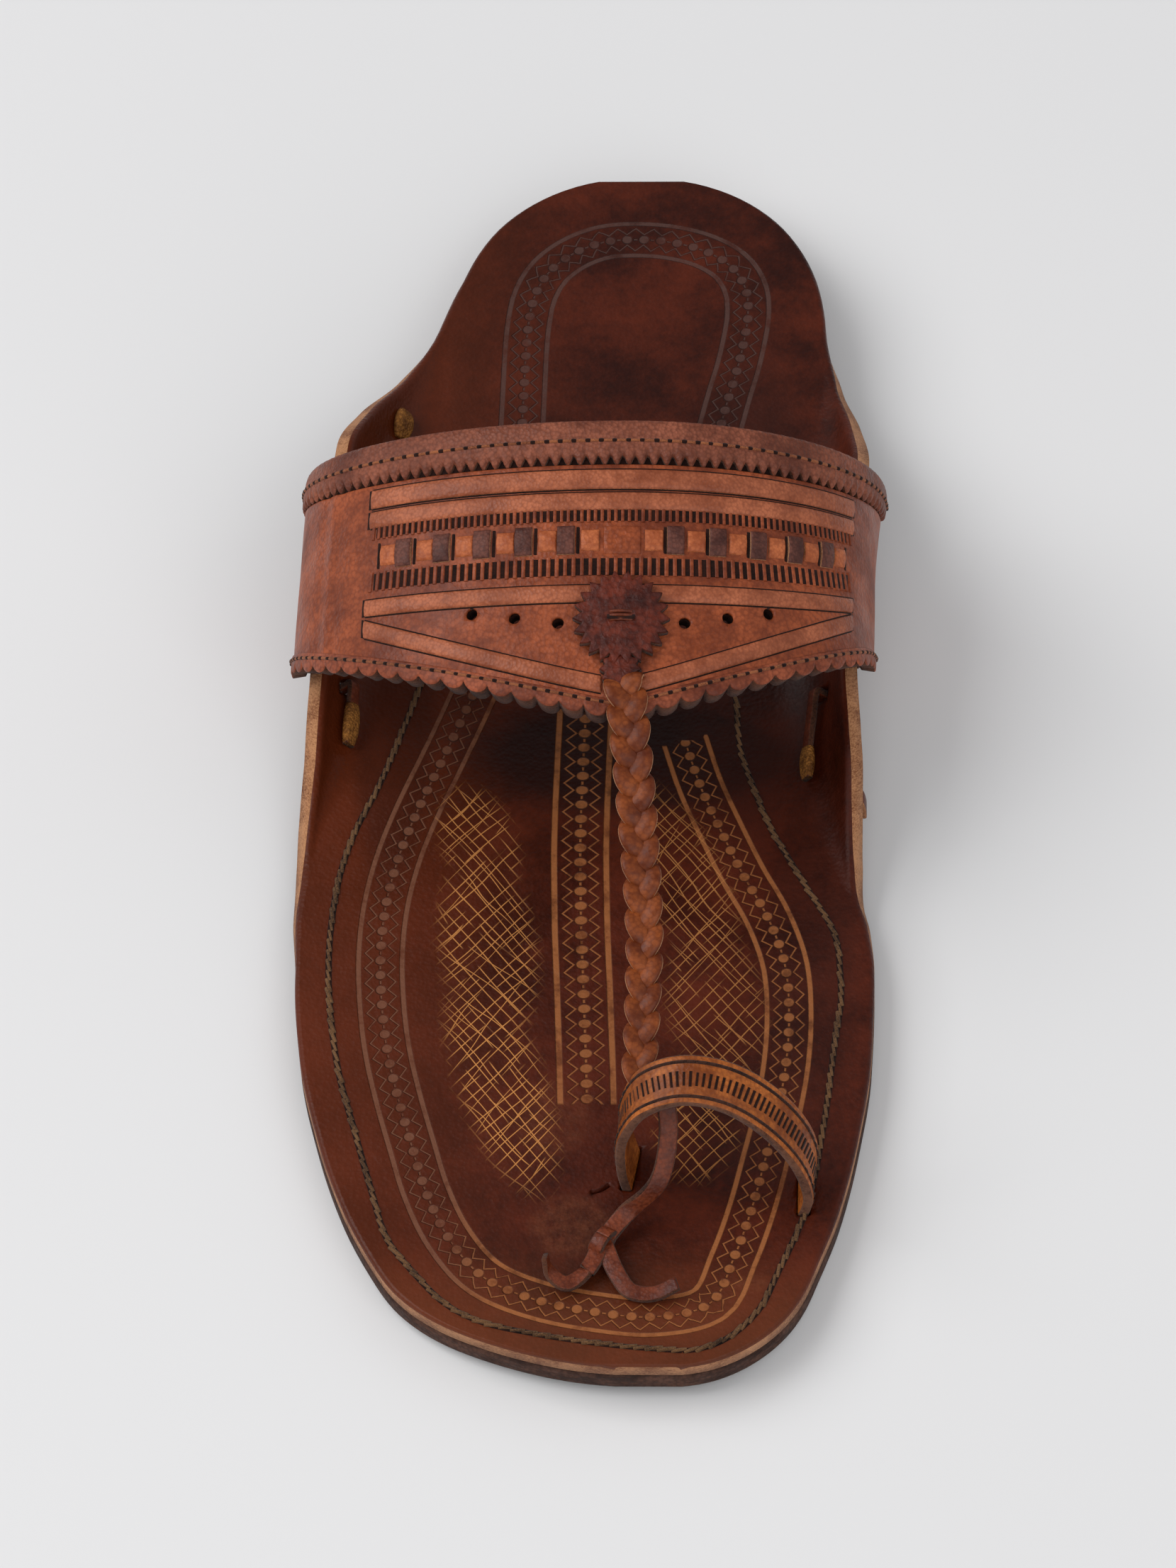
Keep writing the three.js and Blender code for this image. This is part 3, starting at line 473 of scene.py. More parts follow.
dark_thread = fibres("dark_thread", srgb(24, 12, 9), srgb(70, 40, 28), roughness=0.7, size=0.4,
                     relief=0.1)
grey_twine = fibres("grey_brown_twine", srgb(42, 25, 15), srgb(124, 88, 56), roughness=0.8, size=0.3,
                    relief=0.15)
# Near-black used as painted shade in slots, slits, needle holes, grooves and gaps; the hole cutters carry it
# too
shade_black = fibres("painted_shade_black", srgb(16, 7, 5), srgb(44, 20, 13), roughness=0.9, size=0.5,
                      relief=0.05)


# Tooled borders of the insole: lines on the bed as they run in the photograph
FOREFOOT_OUTER = [
    (-23.3, 19), (-28.3, 6.5), (-32.5, -6), (-37.4, -19), (-40, -30.5), (-41.1, -42), (-41, -53),
    (-39.8, -64), (-37.9, -75), (-34.9, -85), (-31.4, -97), (-28, -109), (-22.6, -117), (-17.9, -122.6),
    (-11.9, -126), (-3, -129.5), (9.5, -132), (20.5, -132.2), (27, -131.8), (30.7, -129), (32.8, -122.6),
    (37.1, -111), (39.9, -100), (43.9, -81), (45, -69), (45.2, -55), (44.4, -48), (41.7, -38), (37.1, -29),
    (32.4, -18), (28.4, -9), (24.4, 2.6), (22.7, 13),
]
FOREFOOT_INNER = [
    (-15.5, 19), (-19.1, 8), (-24.1, -5), (-28.3, -17), (-31.6, -30.5), (-32.7, -43.5), (-32.3, -55),
    (-31.1, -65.5), (-29.3, -75), (-26.7, -85), (-23.3, -96), (-19.6, -107), (-13.7, -117), (-7.7, -120),
    (1.2, -123), (9.3, -124.4), (17.4, -125.3), (22.5, -124.4), (25.4, -118), (28.9, -109), (31, -98),
    (36, -73), (36.7, -59.5), (35.7, -49), (32.6, -40), (28.7, -32), (24.8, -23), (20.8, -12.6),
    (17.5, -2), (15, 9),
]
CENTRE_LEFT = [
    (-3.7, 14), (-4.2, 2), (-4.6, -13), (-4.5, -27), (-4.1, -41), (-3.5, -55), (-2.5, -73), (-2, -81),
]
CENTRE_RIGHT = [
    (5.7, 14), (5.7, 8), (5.6, -22), (6.4, -41), (7.4, -55), (8.2, -72), (8.4, -81),
]
HEEL_OUTER = [
    (-17.6, 75), (-17.1, 97), (-16.3, 110), (-12.5, 118), (-6.2, 124), (0.2, 127.6), (8.3, 128),
    (16.4, 127), (24.5, 124), (31, 120), (35.1, 114), (35.9, 106), (34.8, 95), (32.9, 86), (30.3, 75),
    (28.4, 66),
]
HEEL_INNER = [
    (-8.5, 75), (-8.5, 97), (-7.4, 109), (-4.4, 115), (2, 118.6), (10, 119.7), (17.3, 119), (23.8, 116.5),
    (27.5, 111), (27.6, 102.5), (25.7, 92), (23.4, 83), (22, 75), (20.6, 66),
]
INSOLE_SEAM = [
    (-30.3, 20), (-32.8, 12), (-35.9, 1.7), (-39, -8), (-42.5, -17), (-45.1, -27), (-46.5, -40),
    (-46.3, -55), (-43.8, -73), (-40.1, -87), (-36.5, -100), (-33.1, -111), (-28.4, -118), (-21.5, -126),
    (-14.8, -130), (-5.2, -132.6), (5.9, -134.7), (16.9, -136), (24.2, -136.2), (30, -133.6), (35.8, -127),
    (39.4, -118), (44.4, -104), (47.3, -87), (48.4, -78), (49.8, -64), (50.6, -58), (50.5, -51),
    (49.4, -42), (44, -31), (40.9, -25), (37, -17), (33.8, -8), (31, 1.7), (30.1, 13),
]
RULE_PLACE = 4.15
CHAIN_PITCH = 3.4

# Worn and scratched places of the bed, and patches of painted shade under and beside the band and the ears:
# middle, half size, turn in degrees and strength
SCRATCHED = [((-19, -20), (7, 13), 20, 0.75), ((-16.5, -45), (9, 22), 8, 0.85),
             ((-13, -76), (8, 25), 18, 1.0), ((20, -28), (8, 22), 22, 0.6),
             ((27, -58), (9, 18), 10, 0.6), ((24, -86), (8, 12), -10, 0.7)]
RUBBED = [((1, -108), (8, 7), 0, 0.8), ((35, -121), (4, 1.5), 0, 0.8), ((-3, -84), (7, 9), 0, 0.5)]
PAINTED_SHADE_PATCHES = [((12, 0), (34, 14), 0, 0.9), ((33, 35), (14, 60), 0, 0.6), ((45, -40), (9, 40), 0, 0.4),
          ((8, 62), (40, 12), 0, 0.8), ((-36, 8), (8, 40), 0, 0.5)]


def patches_at(places, patches):
    """Strength of some soft oval patches at each place."""
    strength = np.zeros(len(places))
    for (middle_x, middle_y), (half_x, half_y), degrees, most in patches:
        turn = math.radians(degrees)
        x = places[:, 0] - middle_x
        y = places[:, 1] - middle_y
        away = np.hypot((x * math.cos(turn) + y * math.sin(turn)) / half_x,
                        (y * math.cos(turn) - x * math.sin(turn)) / half_y)
        strength = np.maximum(strength, most * np.clip((1.12 - away) / 0.35, 0, 1))
    return strength


def smooth_route(points, count):
    """Even points of a smooth curve through the given ones."""
    given = np.asarray(points, float)
    line = np.concatenate([[2 * given[0] - given[1]], given, [2 * given[-1] - given[-2]]])
    samples = [given[:1]]
    share = np.linspace(0, 1, 25)[1:, None]
    for a, b, c, d in zip(line[:-3], line[1:-2], line[2:-1], line[3:]):
        first = max(np.linalg.norm(b - a) ** 0.5, 1e-4)
        middle = max(np.linalg.norm(c - b) ** 0.5, 1e-4)
        last = max(np.linalg.norm(d - c) ** 0.5, 1e-4)
        leave = ((b - a) / first - (c - a) / (first + middle) + (c - b) / middle) * middle
        arrive = ((c - b) / middle - (d - b) / (middle + last) + (d - c) / last) * middle
        cubic = 2 * b - 2 * c + leave + arrive
        square = -3 * b + 3 * c - 2 * leave - arrive
        samples.append(b + leave * share + square * share ** 2 + cubic * share ** 3)
    curve = np.concatenate(samples)
    length = np.concatenate([[0], np.cumsum(np.linalg.norm(np.diff(curve, axis=0), axis=1))])
    wanted = np.linspace(0, length[-1], count)
    return np.stack([np.interp(wanted, length, curve[:, axis]) for axis in range(curve.shape[1])], -1)


def unit(vectors):
    return vectors / np.maximum(np.linalg.norm(vectors, axis=-1, keepdims=True), 1e-9)


def headings(route):
    return unit(np.gradient(route, axis=0))


def rounded_profile(width, thick, corner, steps=4):
    """Closed section of a flat strip with rounded corners."""
    corner = min(corner, width / 2, thick / 2)
    turns = np.linspace(0, math.pi / 2, steps)
    section = []
    for quarter, (sx, sy) in enumerate(((1, 1), (-1, 1), (-1, -1), (1, -1))):
        angle = turns + quarter * math.pi / 2
        section += list(zip(sx * (width / 2 - corner) + corner * np.cos(angle),
                            sy * (thick / 2 - corner) + corner * np.sin(angle)))
    return np.array(section)


def strip(name, route, profile, lie, materials, scale=None, edge_from=None):
    """Strip of leather along a route, its width laid in a given direction."""
    route = np.asarray(route, float)
    along = headings(route)
    wide = np.broadcast_to(np.asarray(lie, float), route.shape)
    wide = unit(wide - along * np.sum(wide * along, -1, keepdims=True))
    up = np.cross(along, wide)
    size = np.ones(len(route)) if scale is None else np.asarray(scale)
    section = profile[None, :, :] * size[:, None, None]
    rings = route[:, None] + section[..., :1] * wide[:, None] + section[..., 1:] * up[:, None]
    count = len(profile)
    index = np.arange(len(route) * count).reshape(len(route), count)
    following = np.roll(index, -1, axis=1)
    quads = np.stack([index[:-1], index[1:], following[1:], following[:-1]], -1).reshape(-1, 4).tolist()
    points = np.concatenate([rings.reshape(-1, 3), rings[:1].mean(1), rings[-1:].mean(1)])
    start = len(points) - 2
    caps = [(start, a, b) for a, b in zip(index[0], following[0])]
    caps += [(start + 1, b, a) for a, b in zip(index[-1], following[-1])]
    faces = quads + [tuple(int(v) for v in cap) for cap in caps]
    triangles = np.array([face[:3] for face in faces] + [(f[0], f[2], f[3]) for f in quads])
    if volume_sign(points, triangles) < 0:
        faces = [tuple(reversed(face)) for face in faces]
    flat = np.abs(profile[:, 1] + np.roll(profile[:, 1], -1)) / 2
    on_edge = (flat < 0.93 * profile[:, 1].max()).astype(int) if edge_from is None else edge_from
    face_material = np.concatenate([np.tile(on_edge, len(route) - 1), np.ones(len(caps), int)])
    return mesh_object(name, points, faces, materials, np.minimum(face_material, len(materials) - 1))


def resampled(points, count):
    points = np.asarray(points, float)
    length = np.concatenate([[0], np.cumsum(np.linalg.norm(np.diff(points, axis=0), axis=1))])
    wanted = np.linspace(0, length[-1], count)
    return np.stack([np.interp(wanted, length, points[:, axis]) for axis in range(points.shape[1])], -1)


def on_bed(line, height=0.0):
    line = np.asarray(line, float)
    return np.column_stack([line, bed_height(line[:, 1]) + height])


def border_field(points, line, scale=1.0, reach=6.2):
    """Place along and across a border for each point, and whether the border passes there."""
    start = line[:-1]
    step = np.diff(line, axis=0)
    length = np.linalg.norm(step, axis=1)
    before = np.concatenate([[0], np.cumsum(length)])[:-1]
    found = np.zeros((len(points), 3))
    for low in range(0, len(points), 4000):
        part = points[low:low + 4000]
        away = part[:, None] - start[None]
        share = np.clip(np.sum(away * step, -1) / length ** 2, 0, 1)
        offset = away - share[..., None] * step
        distance = np.linalg.norm(offset, axis=-1)
        nearest = distance.argmin(1)
        row = np.arange(len(part))
        turn = step[nearest, 0] * offset[row, nearest, 1] - step[nearest, 1] * offset[row, nearest, 0]
        across = np.sign(turn) * distance[row, nearest] * scale
        beyond = (np.sum(away[row, nearest] * step[nearest], -1) < -0.01) & (nearest == 0)
        beyond |= (share[row, nearest] >= 1) & (nearest == len(step) - 1)
        found[low:low + 4000, 0] = before[nearest] + share[row, nearest] * length[nearest]
        found[low:low + 4000, 1] = np.clip(across, -9, 9)
        found[low:low + 4000, 2] = (np.abs(across) < reach) & ~beyond
    return found


# Rings round the edge of a layer: how far in, their share of the height, and their rise in corners
EDGE_RINGS = [(1, 0, 0), (0.3, 0, 0.3), (0, 0, 1), (0, 0.5, 0), (0, 1, -1), (0.3, 1, -0.3), (1, 1, 0)]


def slab(name, rows, low, high, materials, corner):
    """Layer of the sole: its outline between two heights, with rounded edges."""
    left = np.column_stack([sole_edge(rows, -1), rows])
    right = np.column_stack([sole_edge(rows, 1), rows])
    loop = np.concatenate([left, right[::-1]])
    tangent = unit(np.roll(loop, -1, axis=0) - np.roll(loop, 1, axis=0))
    inward = np.column_stack([-tangent[:, 1], tangent[:, 0]])
    centre = loop.mean(0)
    inward *= np.sign(np.sum(inward * (centre - loop), -1).sum())
    foot = low(loop[:, 1])
    head = high(loop[:, 1])
    rings = []
    for inset, share, rise in EDGE_RINGS:
        height = foot + (head - foot) * share + rise * corner
        rings.append(np.column_stack([loop + inward * inset * corner, height]))
    count = len(loop)
    index = np.arange(len(rings) * count).reshape(len(rings), count)
    following = np.roll(index, -1, axis=1)
    wall = np.stack([index[:-1], following[:-1], following[1:], index[1:]], -1).reshape(-1, 4)
    half = len(rows)
    caps = []
    for ring, flip in ((index[0], True), (index[-1], False)):
        lefts = ring[:half]
        rights = ring[half:][::-1]
        cap = np.stack([lefts[:-1], rights[:-1], rights[1:], lefts[1:]], -1)
        caps.append(cap[:, ::-1] if flip else cap)
    faces = np.concatenate([wall, *caps])
    points = np.concatenate(rings)
    part = np.concatenate([np.zeros(len(wall), int), np.ones(len(faces) - len(wall), int)])
    return mesh_object(name, points, faced_outward(points, faces), materials, part)


def lens_profile(width, thick, count=14):
    """Section of a strip that is thickest in its middle; its two outermost faces are cut edges."""
    angle = (np.arange(count) + 0.5) * 2 * math.pi / count
    section = np.column_stack([width / 2 * np.cos(angle), thick / 2 * np.sin(angle)])
    on_edge = np.zeros(count, int)
    on_edge[[count // 2 - 1, count - 1]] = 1
    return section, on_edge


def sole_rows(step, from_y=None):
    """Rows from toe to heel, closer together round both ends."""
    toe = TOE_END["from"] * LENGTH
    heel = HEEL_END["from"] * LENGTH
    turn = np.cos(np.linspace(0.08, 1, 26) * math.pi / 2)
    rows = np.concatenate([
        toe - (HALF + toe) * turn,
        np.linspace(toe, heel, int((heel - toe) / step))[1:-1],
        (heel + (HALF - heel) * turn)[::-1],
    ])
    return rows if from_y is None else np.concatenate([[from_y], rows[rows > from_y + 0.5]])


ROW_STEP = 2.5
outsole = slab("outsole_leather", sole_rows(ROW_STEP), ground_line, lambda y: ground_line(y) + OUTSOLE_THICK,
               [sole_leather, flesh_side], 0.9)
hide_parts("outsole")
dressed(outsole)
for level in range(2):
    foot = level * LIFT_STEP
    lift = slab(f"heel_lift_{level + 1}_leather", sole_rows(ROW_STEP, HEEL_BREAST),
                lambda y, z=foot: y * 0 + z, lambda y, z=foot: y * 0 + z + LIFT_THICK,
                [sole_leather, flesh_side], 0.5)
    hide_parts(f"heel_lift_{level + 1}")
    dressed(lift)


def attribute_parts(tree, name):
    node = tree.nodes.new("ShaderNodeAttribute")
    node.attribute_name = name
    split = tree.nodes.new("ShaderNodeSeparateXYZ")
    tree.links.new(node.outputs["Vector"], split.inputs[0])
    return split.outputs


def tooling_marks(tree, name):
    """Rules, and the chain of discs between two zigzags, of one tooled border."""
    along, across, mask = attribute_parts(tree, name)
    side = compute(tree, "ABSOLUTE", across)
    place = compute(tree, "SUBTRACT", compute(tree, "FLOORED_MODULO", along, CHAIN_PITCH), CHAIN_PITCH / 2)
    near = compute(tree, "ABSOLUTE", place)
    squared = total(tree, product(tree, near, near), product(tree, side, side))
    radius = compute(tree, "SQRT", squared)
    disc = ramp(tree, radius, 1.15, 0.85)
    slope = compute(tree, "MULTIPLY_ADD", near, 1.55 / (CHAIN_PITCH / 2), 1.35)
    zigzag = ramp(tree, compute(tree, "ABSOLUTE", compute(tree, "SUBTRACT", side, slope)), 0.34, 0.12)
    link = product(tree, ramp(tree, side, 0.3, 0.12), ramp(tree, near, 1.2, 1.4))
    chain = compute(tree, "MAXIMUM", compute(tree, "MAXIMUM", disc, zigzag), link)
    off_rule = compute(tree, "ABSOLUTE", compute(tree, "SUBTRACT", side, RULE_PLACE))
    rule = ramp(tree, off_rule, 0.6, 0.36)
    there = ramp(tree, mask, 0.4, 0.8)
    return product(tree, rule, there), product(tree, chain, there)


def scratches(tree, place, degrees, spacing, seed, width):
    """Fine lines in one direction that start and stop."""
    turned = tree.nodes.new("ShaderNodeMapping")
    turned.inputs["Rotation"].default_value = (0, 0, math.radians(-degrees))
    turned.inputs["Location"].default_value = (seed, seed * 0.7, 0)
    tree.links.new(place, turned.inputs["Vector"])
    split = tree.nodes.new("ShaderNodeSeparateXYZ")
    tree.links.new(turned.outputs[0], split.inputs[0])
    wander = cloud(tree, turned.outputs[0], 16.0, 1.5, 0.5, (0.5, 1, 1))
    line = product(tree, split.outputs[1], 1 / (spacing * MM))
    line = compute(tree, "MULTIPLY_ADD", wander, 2.2, line)
    away = compute(tree, "ABSOLUTE", compute(tree, "SUBTRACT", compute(tree, "FRACT", line), 0.5))
    lane = tree.nodes.new("ShaderNodeTexWhiteNoise")
    lane.noise_dimensions = "1D"
    put(tree, lane.inputs["W"], compute(tree, "FLOOR", line))
    reach = compute(tree, "MULTIPLY_ADD", lane.outputs["Value"], 0.06, split.outputs[0])
    stretch = tree.nodes.new("ShaderNodeCombineXYZ")
    put(tree, stretch.inputs[0], reach)
    put(tree, stretch.inputs[1], product(tree, compute(tree, "FLOOR", line), 0.05))
    there = cloud(tree, stretch.outputs[0], 16.0, 1.0)
    line = ramp(tree, away, width / spacing, width * 0.5 / spacing)
    return product(tree, line, ramp(tree, there, 0.40, 0.46))


# Families of scratches: direction in degrees, spacing, place in the noise and width
SCRATCHES = [(-53, 2.3, 0.013, 0.15), (49.5, 2.2, 0.041, 0.15), (-49, 4.1, 0.09, 0.13), (52, 4.6, 0.15, 0.13)]


def tooled_bed():
    """Oxblood insole leather with its dyed tooling, worn through in scratches, and darkened by painted shade
    in soft patches near the band and the ears.
    """
    material, tree, shader, place = finish_named("tooled_insole_leather", 0.42, 0.04, 0.35, 0.0, 0.17)
    split = tree.nodes.new("ShaderNodeSeparateXYZ")
    tree.links.new(place, split.inputs[0])
    x, y = split.outputs[:2]
    patches = cloud(tree, place, 22.0, 5.0, 0.6)
    fine = cloud(tree, place, 1.6, 4.0, 0.7)
    tone = ramp(tree, compute(tree, "MULTIPLY_ADD", fine, 0.35, patches), 0.45, 0.95)
    colour = blended(tree, tone, srgb(42, 11, 4), srgb(88, 31, 11))
    lateral = ramp(tree, x, 0.002, -0.045)
    colour = blended(tree, product(tree, lateral, 0.5), colour, srgb(102, 42, 13))
    toe = ramp(tree, y, -0.108, -0.134)
    colour = blended(tree, product(tree, toe, 0.4), colour, srgb(126, 66, 36))
    wear, hatch, bed_painted_shade = attribute_parts(tree, "wear_and_painted_shade")
    # Painted shade: the bed is darkened towards near-black under and beside the band and the ears
    colour = blended(tree, product(tree, bed_painted_shade, 0.85), colour, srgb(30, 9, 5))
    dye = blended(tree, ramp(tree, x, -0.012, -0.026), srgb(166, 102, 58), srgb(120, 78, 58))
    dye = blended(tree, ramp(tree, y, 0.05, 0.07), dye, srgb(84, 60, 54))
    worn = ramp(tree, cloud(tree, place, 5.0, 4.0, 0.7), 0.3, 0.55, 0.3, 0.85)
    relief = None
    for name in ("forefoot_tooling", "centre_tooling", "heel_tooling"):
        rule, chain = tooling_marks(tree, name)
        for mark, strength in ((rule, 0.9), (chain, 0.8)):
            colour = blended(tree, product(tree, mark, product(tree, worn, strength)), colour, dye)
        pressed = compute(tree, "MULTIPLY_ADD", rule, 0.7, chain)
        relief = pressed if relief is None else total(tree, relief, pressed)
    cut = None
    for degrees, spacing, seed, width in SCRATCHES:
        lines = scratches(tree, place, degrees, spacing, seed, width)
        cut = lines if cut is None else compute(tree, "MAXIMUM", cut, lines)
    cut = product(tree, cut, hatch)
    colour = blended(tree, product(tree, cut, 0.9), colour, srgb(206, 138, 74))
    rubbed = product(tree, wear, ramp(tree, cloud(tree, place, 3.0, 6.0, 0.8), 0.25, 0.85))
    colour = blended(tree, product(tree, rubbed, 0.4), colour, srgb(160, 92, 60))
    put(tree, shader.inputs["Base Color"], colour)
    dull = total(tree, patches, product(tree, cut, 0.5))
    gloss = ramp(tree, dull, 0.3, 0.9, 0.34, 0.6)
    put(tree, shader.inputs["Roughness"], gloss)
    creased = bumped(tree, cloud(tree, place, 5.0, 5.0, 0.6), 0.2)
    grained = bumped(tree, total(tree, pebbles(tree, place, 0.8), fine), 0.08, creased)
    carved = bumped(tree, product(tree, relief, -1.0), 0.3, grained)
    put(tree, shader.inputs["Normal"], bumped(tree, product(tree, cut, -1.0), 0.1, carved))
    return material


bed_leather = tooled_bed()


def insole_grid(rows, depth, bevel):
    """Points of the insole's face or back from the lateral ear's rim to the medial one."""
    span = sole_edge(rows, 1) - sole_edge(rows, -1)
    inset = np.minimum(3, 0.25 * span)
    wings = []
    for side in (-1, 1):
        width = ear_width(rows, side)
        inside = [width - 0.9 + (-inset - width + 0.9) * share for share in np.linspace(0, 1, 16)]
        reach = np.stack([width, width - 0.3, *inside], -1)
        fall = np.zeros(reach.shape)
        fall[:, 0] = 0.9 * bevel
        fall[:, 1] = 0.3 * bevel
        wings.append(ear_point(rows[:, None], side, reach, depth + fall))
    left, right = wings
    right = right[:, ::-1]
    between = np.linspace(0, 1, 80)[1:-1]
    bed = left[:, -1:] + (right[:, :1] - left[:, -1:]) * between[None, :, None]
    grid = np.concatenate([left, bed, right], axis=1)
    grid[0, :, 2] -= 0.6 * bevel
    grid[-1, :, 2] -= 0.6 * bevel
    return grid


# Toe loop from its lateral to its medial foot: shares of its span, of the strip's width and of its height
LOOP_PATH = [
    (-0.46, -0.02, -0.09), (-0.50, 0.04, 0.23), (-0.49, 0.12, 0.58), (-0.38, 0.20, 0.87), (-0.18, 0.24, 1.00),
    (0.06, 0.16, 0.96), (0.29, -0.04, 0.76), (0.46, -0.30, 0.46), (0.51, -0.50, 0.19), (0.46, -0.60, -0.09),
]
LOOP_PLACE = (27.7, -95.0)
LOOP_SIZE = {"span": 34.0, "height": 26.0, "strip": 9.5, "thick": 2.0}
LOOP_LIE = (0.1, 1.0, 0.3)


def loop_route(count):
    points = []
    for across, along, up in LOOP_PATH:
        y = LOOP_PLACE[1] + along * LOOP_SIZE["strip"]
        x = LOOP_PLACE[0] + across * LOOP_SIZE["span"]
        points.append((x, y, bed_height(y) + up * LOOP_SIZE["height"]))
    return smooth_route(points, count)


# Each thong's places on its ear: along the sandal and up the ear, as shares
LACINGS = {
    -1: [(0.050, 0.46), (0.036, 0.40), (0.020, 0.33), (0.004, 0.27)],
    1: [(0.038, 0.52), (0.018, 0.43), (-0.004, 0.34), (-0.026, 0.27)],
}
THONG_OVER_EAR = 1.75
THONG_SUNK = 0.2


def lacing_route(side):
    """A thong starts flush with the ear's outer face and lies down its inner face."""
    def at(row, depth):
        y = row[0] * LENGTH
        return ear_point(y, side, row[1] * ear_width(y, side), depth)

    rows = LACINGS[side]
    outer = at(rows[0], INSOLE_THICK - THONG_SUNK)
    inner = at(rows[0], -THONG_OVER_EAR)
    run = [at(row, -THONG_OVER_EAR) for row in rows[1:]]
    lie = unit(np.cross(unit(run[0] - inner), unit(outer - inner)))
    return outer, inner, run, lie


def cut_from(made, cutters):
    """Takes real openings out of a piece."""
    for cutter in cutters:
        change = made.modifiers.new("opening", "BOOLEAN")
        change.operation = "DIFFERENCE"
        change.solver = "EXACT"
        change.object = cutter
    settled(made)
    for cutter in cutters:
        bpy.data.objects.remove(cutter)


def settled(made):
    """Keeps the mesh that the modifiers make, and takes them off."""
    graph = bpy.context.evaluated_depsgraph_get()
    mesh = bpy.data.meshes.new_from_object(made.evaluated_get(graph), depsgraph=graph)
    made.modifiers.clear()
    made.data = mesh


SLOT_PLAY = 0.6
THONG_SLIT = rounded_profile(4.0, 3.1, 0.2, 2)
KNOT_SLIT = [(4.4, -100.4), (6.2, -99.8), (7.8, -98.6)]
rows = sole_rows(1.35)
insole = plate("insole_leather_bed", insole_grid(rows, 0.0, 1.0), insole_grid(rows, INSOLE_THICK, 0.0),
               [bed_leather, cut_edge, flesh_side])
cutters = []
route = loop_route(60)
for foot in (route[:12], route[-12:][::-1]):
    deep = np.concatenate([foot[:1] - [0, 0, INSOLE_THICK], foot])
    section = rounded_profile(LOOP_SIZE["strip"] + SLOT_PLAY, LOOP_SIZE["thick"] + SLOT_PLAY, 0.3, 2)
    cutters.append(strip("slot", deep, section, LOOP_LIE, [shade_black]))
for side in (-1, 1):
    outer, inner, run, lie = lacing_route(side)
    beyond = (outer - inner) * 0.4
    cutters.append(strip("slit", [outer + beyond, inner - beyond], THONG_SLIT, lie, [shade_black]))
knot_slit = on_bed(smooth_route(KNOT_SLIT, 8), -0.7)
cutters.append(strip("slit", knot_slit, rounded_profile(1.0, 3.0, 0.2, 2), (0, 1, 0), [shade_black]))
cut_from(insole, cutters)

vertex_places = np.zeros(len(insole.data.vertices) * 3, np.float32)
insole.data.vertices.foreach_get("co", vertex_places)
bed_places = vertex_places.reshape(-1, 3)[:, :2] / MM - SHIFT[:2]
forefoot_line = (resampled(FOREFOOT_OUTER, 90) + resampled(FOREFOOT_INNER, 90)) / 2
centre_line = (resampled(CENTRE_LEFT, 30) + resampled(CENTRE_RIGHT, 30)) / 2
heel_line = (resampled(HEEL_OUTER, 60) + resampled(HEEL_INNER, 60)) / 2
fields = {
    "forefoot_tooling": border_field(bed_places, smooth_route(forefoot_line[::3], 150)),
    "centre_tooling": border_field(bed_places, centre_line, RULE_PLACE / 5.0),
    "heel_tooling": border_field(bed_places, smooth_route(heel_line[::3], 80)),
}
# Shares of rubbed wear, of scratches and of painted shade at each point of the bed
wear_and_shade_shares = [patches_at(bed_places, each) for each in (RUBBED, SCRATCHED, PAINTED_SHADE_PATCHES)]
fields["wear_and_painted_shade"] = np.column_stack(wear_and_shade_shares)
for key, value in fields.items():
    attribute = insole.data.attributes.new(key, "FLOAT_VECTOR", "POINT")
    attribute.data.foreach_set("vector", value.astype(np.float32).ravel())
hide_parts("insole")
dressed(insole)


# Instep band: rows are measured from its back edge at the crest
BINDING_WIDTH = 8.4
PINK_PITCH = 2.4
PINK_DEPTH = 1.7
STRIP_REACH = 52.0
CENTRE_GAP = 3.6
SQUARE_PITCH = 8.2
SQUARE_FIRST = 6.1
SQUARE_COUNT = 6
SQUARE_WIDTH = 3.5
BAR_WIDTH = 3.6
SCALLOP_PITCH = 4.6
SCALLOP_DEPTH = 1.9
BORDER_WIDTH = 3.6
HOLE_PLACES = [(12.0 + 8.4 * number, 38.6 - 1.2 * number) for number in range(3)]
HOLE_DIAMETER = 2.3
FACE_FOOT = 1.9
FACE_HEIGHT = 2.72
GROUND_FOOT = 2.3
GROUND_HEIGHT = FACE_HEIGHT + 0.06
SLOT_HEIGHT = FACE_HEIGHT + 0.07
OPENING_HEIGHT = FACE_HEIGHT + 0.08
STRIP_FOOT = 2.2
STRIP_SWOOP = 2.6
GROOVE = 0.3
SLOT_LENGTH = 0.75
SLOT_OVERLAP = 0.1
COMB_REACH = 50.4
SQUARE_ROWS = (21.0, 25.0)
BAR_ROWS = (20.3, 25.7)
OPENING_ROWS = (20.2, 25.7)
OPENING_WIDTH = 1.0
BEFORE_LATERAL = 1.1
INTO_MEDIAL = 0.05

binding_leather = leather("pebbled_binding", srgb(88, 42, 28), srgb(154, 88, 64), roughness=0.5,
                          coat=0.05, grain=0.7, relief=0.22, crease=0.2, patch=12)


def stations(start, end, step, soft=0.35):
    """Places along the girth, with two more close to each end for a rounded corner."""
    inner = np.linspace(start + soft, end - soft, max(2, int(round((end - start) / step))))
    return np.concatenate([[start, start + 0.3 * soft], inner, [end - 0.3 * soft, end]])


